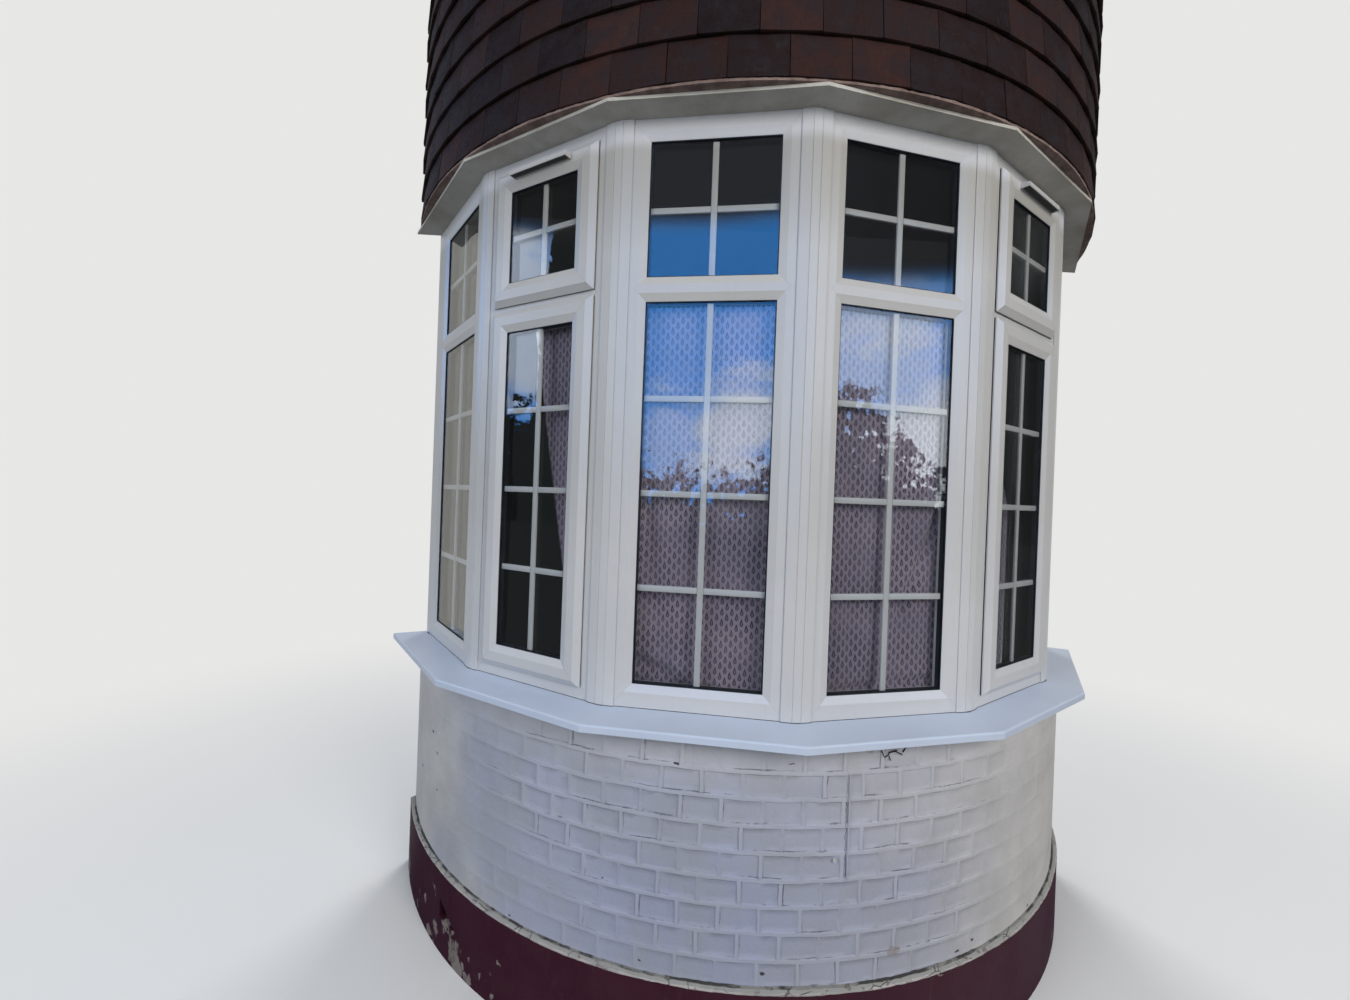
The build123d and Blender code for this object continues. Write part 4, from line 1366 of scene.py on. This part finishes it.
class BAY_OT_cloth(Operator):
    """Printed cloth hung inside the middle windows"""
    bl_idname = "bay.cloth"
    bl_label = "Cloth"
    cell = 0.009
    spare = 1.03
    end_gap, thickness = 0.01, 0.0009
    # Lines that its two sides follow: run from the middle and height of two points each
    slanted_sides = (((-0.884, 1.950), (-0.761, 1.334)), ((0.798, 1.950), (0.930, 1.682)))
    # Creases: run and height of both ends, half width and depth
    creases = ((0.520, 1.720, 0.365, 1.340, 0.016, 0.010), (-0.560, 1.190, -0.330, 1.090, 0.022, 0.012),
               (-0.480, 1.090, -0.150, 1.075, 0.018, 0.010), (0.060, 1.085, 0.540, 1.130, 0.014, 0.009),
               (-0.120, 1.500, -0.200, 1.120, 0.022, 0.007), (-0.470, 1.700, -0.400, 1.150, 0.024, 0.008),
               (0.160, 1.900, 0.190, 1.200, 0.026, 0.006), (-0.300, 1.620, -0.330, 1.180, 0.016, 0.006))

    def execute(self, context):
        low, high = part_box("window_cloth")
        depth = bay.centre_y - low.y
        chord = 2 * depth * math.tan(bay.half_turn)
        run = 2 * chord + 2 * sizes.cloth_reach * chord
        height = high.z - low.z
        clear_selection()
        bpy.ops.mesh.primitive_grid_add(x_subdivisions=round(run / self.cell),
                                        y_subdivisions=round(height / self.cell), size=1, calc_uvs=True)
        cloth = named("window_cloth_sheet")
        cloth.scale = (run - 2 * self.end_gap, height, 1)
        settle(cloth)
        for loop in cloth.data.uv_layers.active.data:
            loop.uv = (loop.uv[0] * run, loop.uv[1] * height)
        self.slant(cloth, (low.z + high.z) / 2)
        self.hang(cloth, low.z, high.z, chord, depth)
        use_modifier(cloth, "SOLIDIFY", thickness=self.thickness, offset=0)
        dress(smooth(cloth, 80), "printed_cloth", "cloth", "window_cloth")
        return {"FINISHED"}

    def slant(self, cloth, middle):
        """Cut both sides of the flat cloth on their slants."""
        with editing(cloth, "VERT"):
            for (first_along, first_z), (second_along, second_z) in self.slanted_sides:
                bpy.ops.mesh.select_all(action="SELECT")
                slope = Vector((second_z - first_z, first_along - second_along, 0)).normalized()
                bpy.ops.mesh.bisect(plane_co=(first_along, first_z - middle, 0),
                                    plane_no=slope if slope.x * first_along > 0 else -slope, clear_outer=True)

    def hang(self, cloth, bottom, top, chord, depth):
        """Lay the flat cloth along the facets, with soft folds that grow and bunch towards the foot."""
        points = read_points(cloth)
        along, up = points[:, 0].copy(), points[:, 1] + (bottom + top) / 2
        fall = (top - up) / (top - bottom)
        folds = (np.sin(along * 21 + 1.7 * np.sin(along * 3.1)) + 0.6 * np.sin(along * 47 + 2.0 + up * 1.3)
                 + 0.35 * np.sin(along * 11 + up * 6.0))
        foot = np.clip((bottom + 0.16 - up) / 0.16, 0, 1)
        bunch = np.sin(up * 95 + 3.0 * np.sin(along * 9)) + 0.7 * np.sin(up * 60 + along * 25)
        inward = (0.006 + sizes.cloth_fold * (0.25 + 0.75 * fall) * (1 + folds / 2)
                  + 0.006 * foot * (1 + bunch / 1.7))
        for crease in self.creases:
            inward += self.crease(along, up, *crease)
        inward = np.maximum(inward, 0.002)
        half = sizes.facet_count / 2
        numbers = np.clip(np.floor(along / chord + half) + 1, 1, sizes.facet_count).astype(int)
        inner = Matrix.Translation((0, bay.facet_radius - depth, 0))
        places = {number: bay.facet(number) @ inner for number in bay.numbers}
        for index, number in enumerate(numbers.tolist()):
            local = along[index] - (number - half - 0.5) * chord
            squeeze = 1 - inward[index] / depth
            cloth.data.vertices[index].co = places[number] @ Vector((local * squeeze, inward[index], up[index]))
        cloth.data.update()

    def crease(self, along, up, first_along, first_up, second_along, second_up, half_width, rise):
        """How far one crease stands in, with a shallow valley on either side."""
        line = np.array((second_along - first_along, second_up - first_up))
        share = np.clip(((along - first_along) * line[0] + (up - first_up) * line[1]) / (line @ line), 0, 1)
        off = np.hypot(along - first_along - share * line[0], up - first_up - share * line[1])
        valley = 0.35 * rise * np.exp(-((off - 1.8 * half_width) / half_width) ** 2)
        return rise * np.exp(-(off / half_width) ** 2) - valley


class BAY_OT_stage(Operator):
    """Floor, background, lights and camera"""
    bl_idname = "bay.stage"
    bl_label = "Stage"
    # Clouds that the glass shows: the way to the middle of each, its reach and its share of white
    clouds = (((-0.953, -0.188, 0.239), 0.10, 0.8), ((-0.915, -0.165, 0.365), 0.07, 0.8),
              ((-0.219, -0.965, 0.140), 0.09, 0.85), ((-0.330, -0.930, 0.110), 0.06, 0.3),
              ((0.760, -0.643, 0.096), 0.14, 1.0), ((0.682, -0.683, 0.261), 0.13, 0.5))
    # What else the glass shows: the ground, and trees and the dark overhead, ahead and to the sides
    dark_ground = (0.050, 0.052, 0.050)
    trees_ahead, trees_aside = (0.170, 0.168, 0.172), (0.034, 0.037, 0.035)
    above_ahead, above_aside = (0.22, 0.23, 0.26), (0.075, 0.075, 0.075)
    world_light, world_tone = 0.42, (0.84, 0.90, 1.0)
    sky_strength = 4.7
    # Lamps: place, size, power and tone, and the place that they are aimed at
    lamp_table = (("key", (2.8, -5.0, 3.9), 2.4, 230, (1.0, 0.96, 0.90)),
                  ("fill", (-4.6, -3.6, 2.9), 2.6, 120, (0.86, 0.92, 1.0)),
                  ("back", (0.5, 5.2, 4.2), 3.0, 160, (1.0, 1.0, 1.0)))
    lamp_aim = (0, 0.2, 1.6)
    lens_length = 14.4
    camera_place = (-0.44671, -1.94914, 1.67098)
    camera_right, camera_forward = (0.99822, -0.04672, 0.03701), (0.04687, 0.99890, -0.00329)

    def execute(self, context):
        self.floor()
        self.world(context.scene)
        self.lamps()
        self.camera(context.scene)
        context.scene.view_settings.view_transform = "Standard"
        return {"FINISHED"}

    def street_side(self, forward):
        """One towards the street and none towards the house, by a share of the way along +Y."""
        return forward.ramp(0.45, 0.25)

    def floor(self):
        clear_selection()
        bpy.ops.mesh.primitive_circle_add(vertices=96, radius=30, fill_type="NGON", location=(0, 0, -0.001))
        floor = settle(named("floor"))
        coat = Coat("floor_pale")
        path = put("ShaderNodeLightPath", tree=coat.tree)
        coat.paint(mix(path["Is Diffuse Ray"], finishes.backdrop, shade(finishes.backdrop, 0.3)), 0.9)
        mirrored = most(path["Is Glossy Ray"], path["Is Transmission Ray"])
        away = vector("LENGTH", coat.place, out="Value")
        far = most(away.ramp(1.4, 5.5) * most(path["Is Camera Ray"], mirrored), mirrored)
        street = self.street_side(coat.place.axes[1] / away)
        ground = mix(mirrored, finishes.backdrop, finishes.house_side)
        haze = put("ShaderNodeEmission", {"Color": mix(street * mirrored, ground, self.dark_ground)})[0]
        floor.data.materials.append(coat.show(mix_shaders(far, Value(coat.shader.outputs[0]), haze)))

    def world(self, scene):
        """Even light and a pale background. Glass and gloss show sky high on the street side, pale elsewhere."""
        world = bpy.data.worlds.new("studio")
        world.use_nodes = True
        scene.world = world
        tree = world.node_tree
        way = put("ShaderNodeTexCoord", tree=tree)["Generated"]
        x, y, z = way.axes
        across, forward, _ = vector("NORMALIZE", combined(X=x, Y=y)).axes
        street = self.street_side(forward)
        overhead = (z + (most(x, 0.0) * 0.16 + least(x, 0.0) * -0.06)).ramp(0.452, 0.498)
        sky_share = self.open_sky(way, z, across, forward) * (1.0 - overhead) * street
        sideways = abs(across).ramp(0.45, 0.85)
        dark = mix(overhead, mix(sideways, self.trees_ahead, self.trees_aside),
                   mix(sideways, self.above_ahead, self.above_aside))
        mirrored = mix(sky_share, mix(street, finishes.house_side, dark), self.sky(way, z))
        path = put("ShaderNodeLightPath", tree=tree)
        light = self.background(tree, self.world_tone, self.world_light)
        mirror = self.background(tree, mirrored, sky_share.ramp(0.0, 1.0, 1.0, self.sky_strength))
        view = self.background(tree, finishes.backdrop, 1.0)
        unseen = mix_shaders(most(path["Is Glossy Ray"], path["Is Transmission Ray"]), light, mirror)
        feed(tree.nodes["World Output"], {"Surface": mix_shaders(path["Is Camera Ray"], unseen, view)})

    def background(self, tree, tone, strength):
        return put("ShaderNodeBackground", {"Color": tone, "Strength": strength}, tree)[0]

    def sky(self, way, height):
        """Blue sky with faint cloud low down, and the larger clouds of the table."""
        cloudy = noise(stretched(way, (1.0, 1.0, 2.6)), 2.6, 8.0, 0.62)
        billow = (cloudy - 0.5) * 0.32
        puffs = [cloudy.ramp(0.52, 0.68) * height.ramp(0.46, 0.22)]
        for middle, reach, share in self.clouds:
            off = vector("DISTANCE", way, middle, "Value")
            puffs.append((off + billow).ramp(1.25 * reach, 0.55 * reach, 0.0, share))
        return mix(most(*puffs), finishes.sky, finishes.cloud)

    def open_sky(self, way, height, across, forward):
        """One above the ragged line of the treetops, and in the gaps between their leaves."""
        left_row = across.ramp(-0.60, -0.90, 0.0, 0.10)
        left_tree = across.ramp(-0.70, -0.90, 0.0, 0.42) * forward.ramp(-0.20, -0.235)
        right_tree = across.ramp(0.80, 0.62, 0.0, 0.17) * across.ramp(0.40, 0.55)
        right_row = across.ramp(0.88, 0.94, 0.0, 1.2)
        leaves = (noise(way, 6.0, 14.0, 0.78) - 0.5) * 0.34
        twigs = (noise(way, 48.0, 6.0, 0.7) - 0.5) * 0.13
        treetops = left_row + 0.05 + left_tree + right_tree + right_row + leaves + twigs
        over_trees = height - treetops
        gaps = noise(way, 62.0, 3.0, 0.65) + over_trees * 1.7
        return most(over_trees.ramp(-0.006, 0.010), gaps.ramp(0.53, 0.58))

    def lamps(self):
        """A large soft light from the upper right, a weaker one from the left and one behind."""
        for name, place, size, power, tone in self.lamp_table:
            lamp = bpy.data.lights.new(name, "AREA")
            lamp.size, lamp.energy, lamp.color = size, power, tone
            holder = bpy.data.objects.new(name, lamp)
            holder.location = place
            holder.rotation_euler = (Vector(self.lamp_aim) - Vector(place)).to_track_quat("-Z", "Y").to_euler()
            holder.visible_glossy = holder.visible_transmission = False
            bpy.context.scene.collection.objects.link(holder)

    def camera(self, scene):
        """The camera of the photograph, found with the bay's own sizes from its corners and edges."""
        lens = bpy.data.cameras.new("photo_camera")
        lens.sensor_fit = "HORIZONTAL"
        lens.sensor_width = 36
        lens.lens = self.lens_length
        lens.clip_start = 0.05
        holder = bpy.data.objects.new("photo_camera", lens)
        right = Vector(self.camera_right)
        forward = Vector(self.camera_forward).normalized()
        up = right.cross(forward).normalized()
        right = forward.cross(up)
        turn = Matrix((right, up, -forward)).transposed().to_4x4()
        holder.matrix_world = Matrix.Translation(self.camera_place) @ turn
        scene.collection.objects.link(holder)
        scene.camera = holder


class BAY_PT_pieces(Panel):
    """Pieces of the bay window"""
    bl_idname = "BAY_PT_pieces"
    bl_label = "Bay window"
    bl_space_type = "VIEW_3D"
    bl_region_type = "UI"
    bl_category = "Bay window"

    def draw(self, context):
        for operator in piece_operators:
            self.layout.operator(operator.bl_idname, text=operator.bl_label)
        for settings in (context.scene.bay_sizes, context.scene.bay_finishes):
            box = self.layout.box()
            for key in settings.bl_rna.properties.keys():
                if key not in ("rna_type", "name"):
                    box.prop(settings, key)


piece_operators = [BAY_OT_header_bricks, BAY_OT_wall_damage, BAY_OT_mortar_ledge, BAY_OT_plinth, BAY_OT_frames,
                   BAY_OT_glazing, BAY_OT_vent_grilles, BAY_OT_hung_tiles, BAY_OT_mortar_bed, BAY_OT_head,
                   BAY_OT_cloth, BAY_OT_stage]
classes = [BaySizes, BayFinishes, *piece_operators, BAY_PT_pieces]


def register():
    for kind in classes:
        bpy.utils.register_class(kind)
    bpy.types.Scene.bay_sizes = PointerProperty(type=BaySizes)
    bpy.types.Scene.bay_finishes = PointerProperty(type=BayFinishes)


def unregister():
    del bpy.types.Scene.bay_sizes
    del bpy.types.Scene.bay_finishes
    for kind in reversed(classes):
        bpy.utils.unregister_class(kind)


def run_operator(operator):
    """Call one operator by its name."""
    family, name = operator.bl_idname.split(".")
    return getattr(getattr(bpy.ops, family), name)()


def main():
    global sizes, finishes, bay
    register()
    sizes = bpy.context.scene.bay_sizes
    finishes = bpy.context.scene.bay_finishes
    bay = Bay()
    for operator in piece_operators:
        run_operator(operator)


if __name__ == "__main__":
    main()
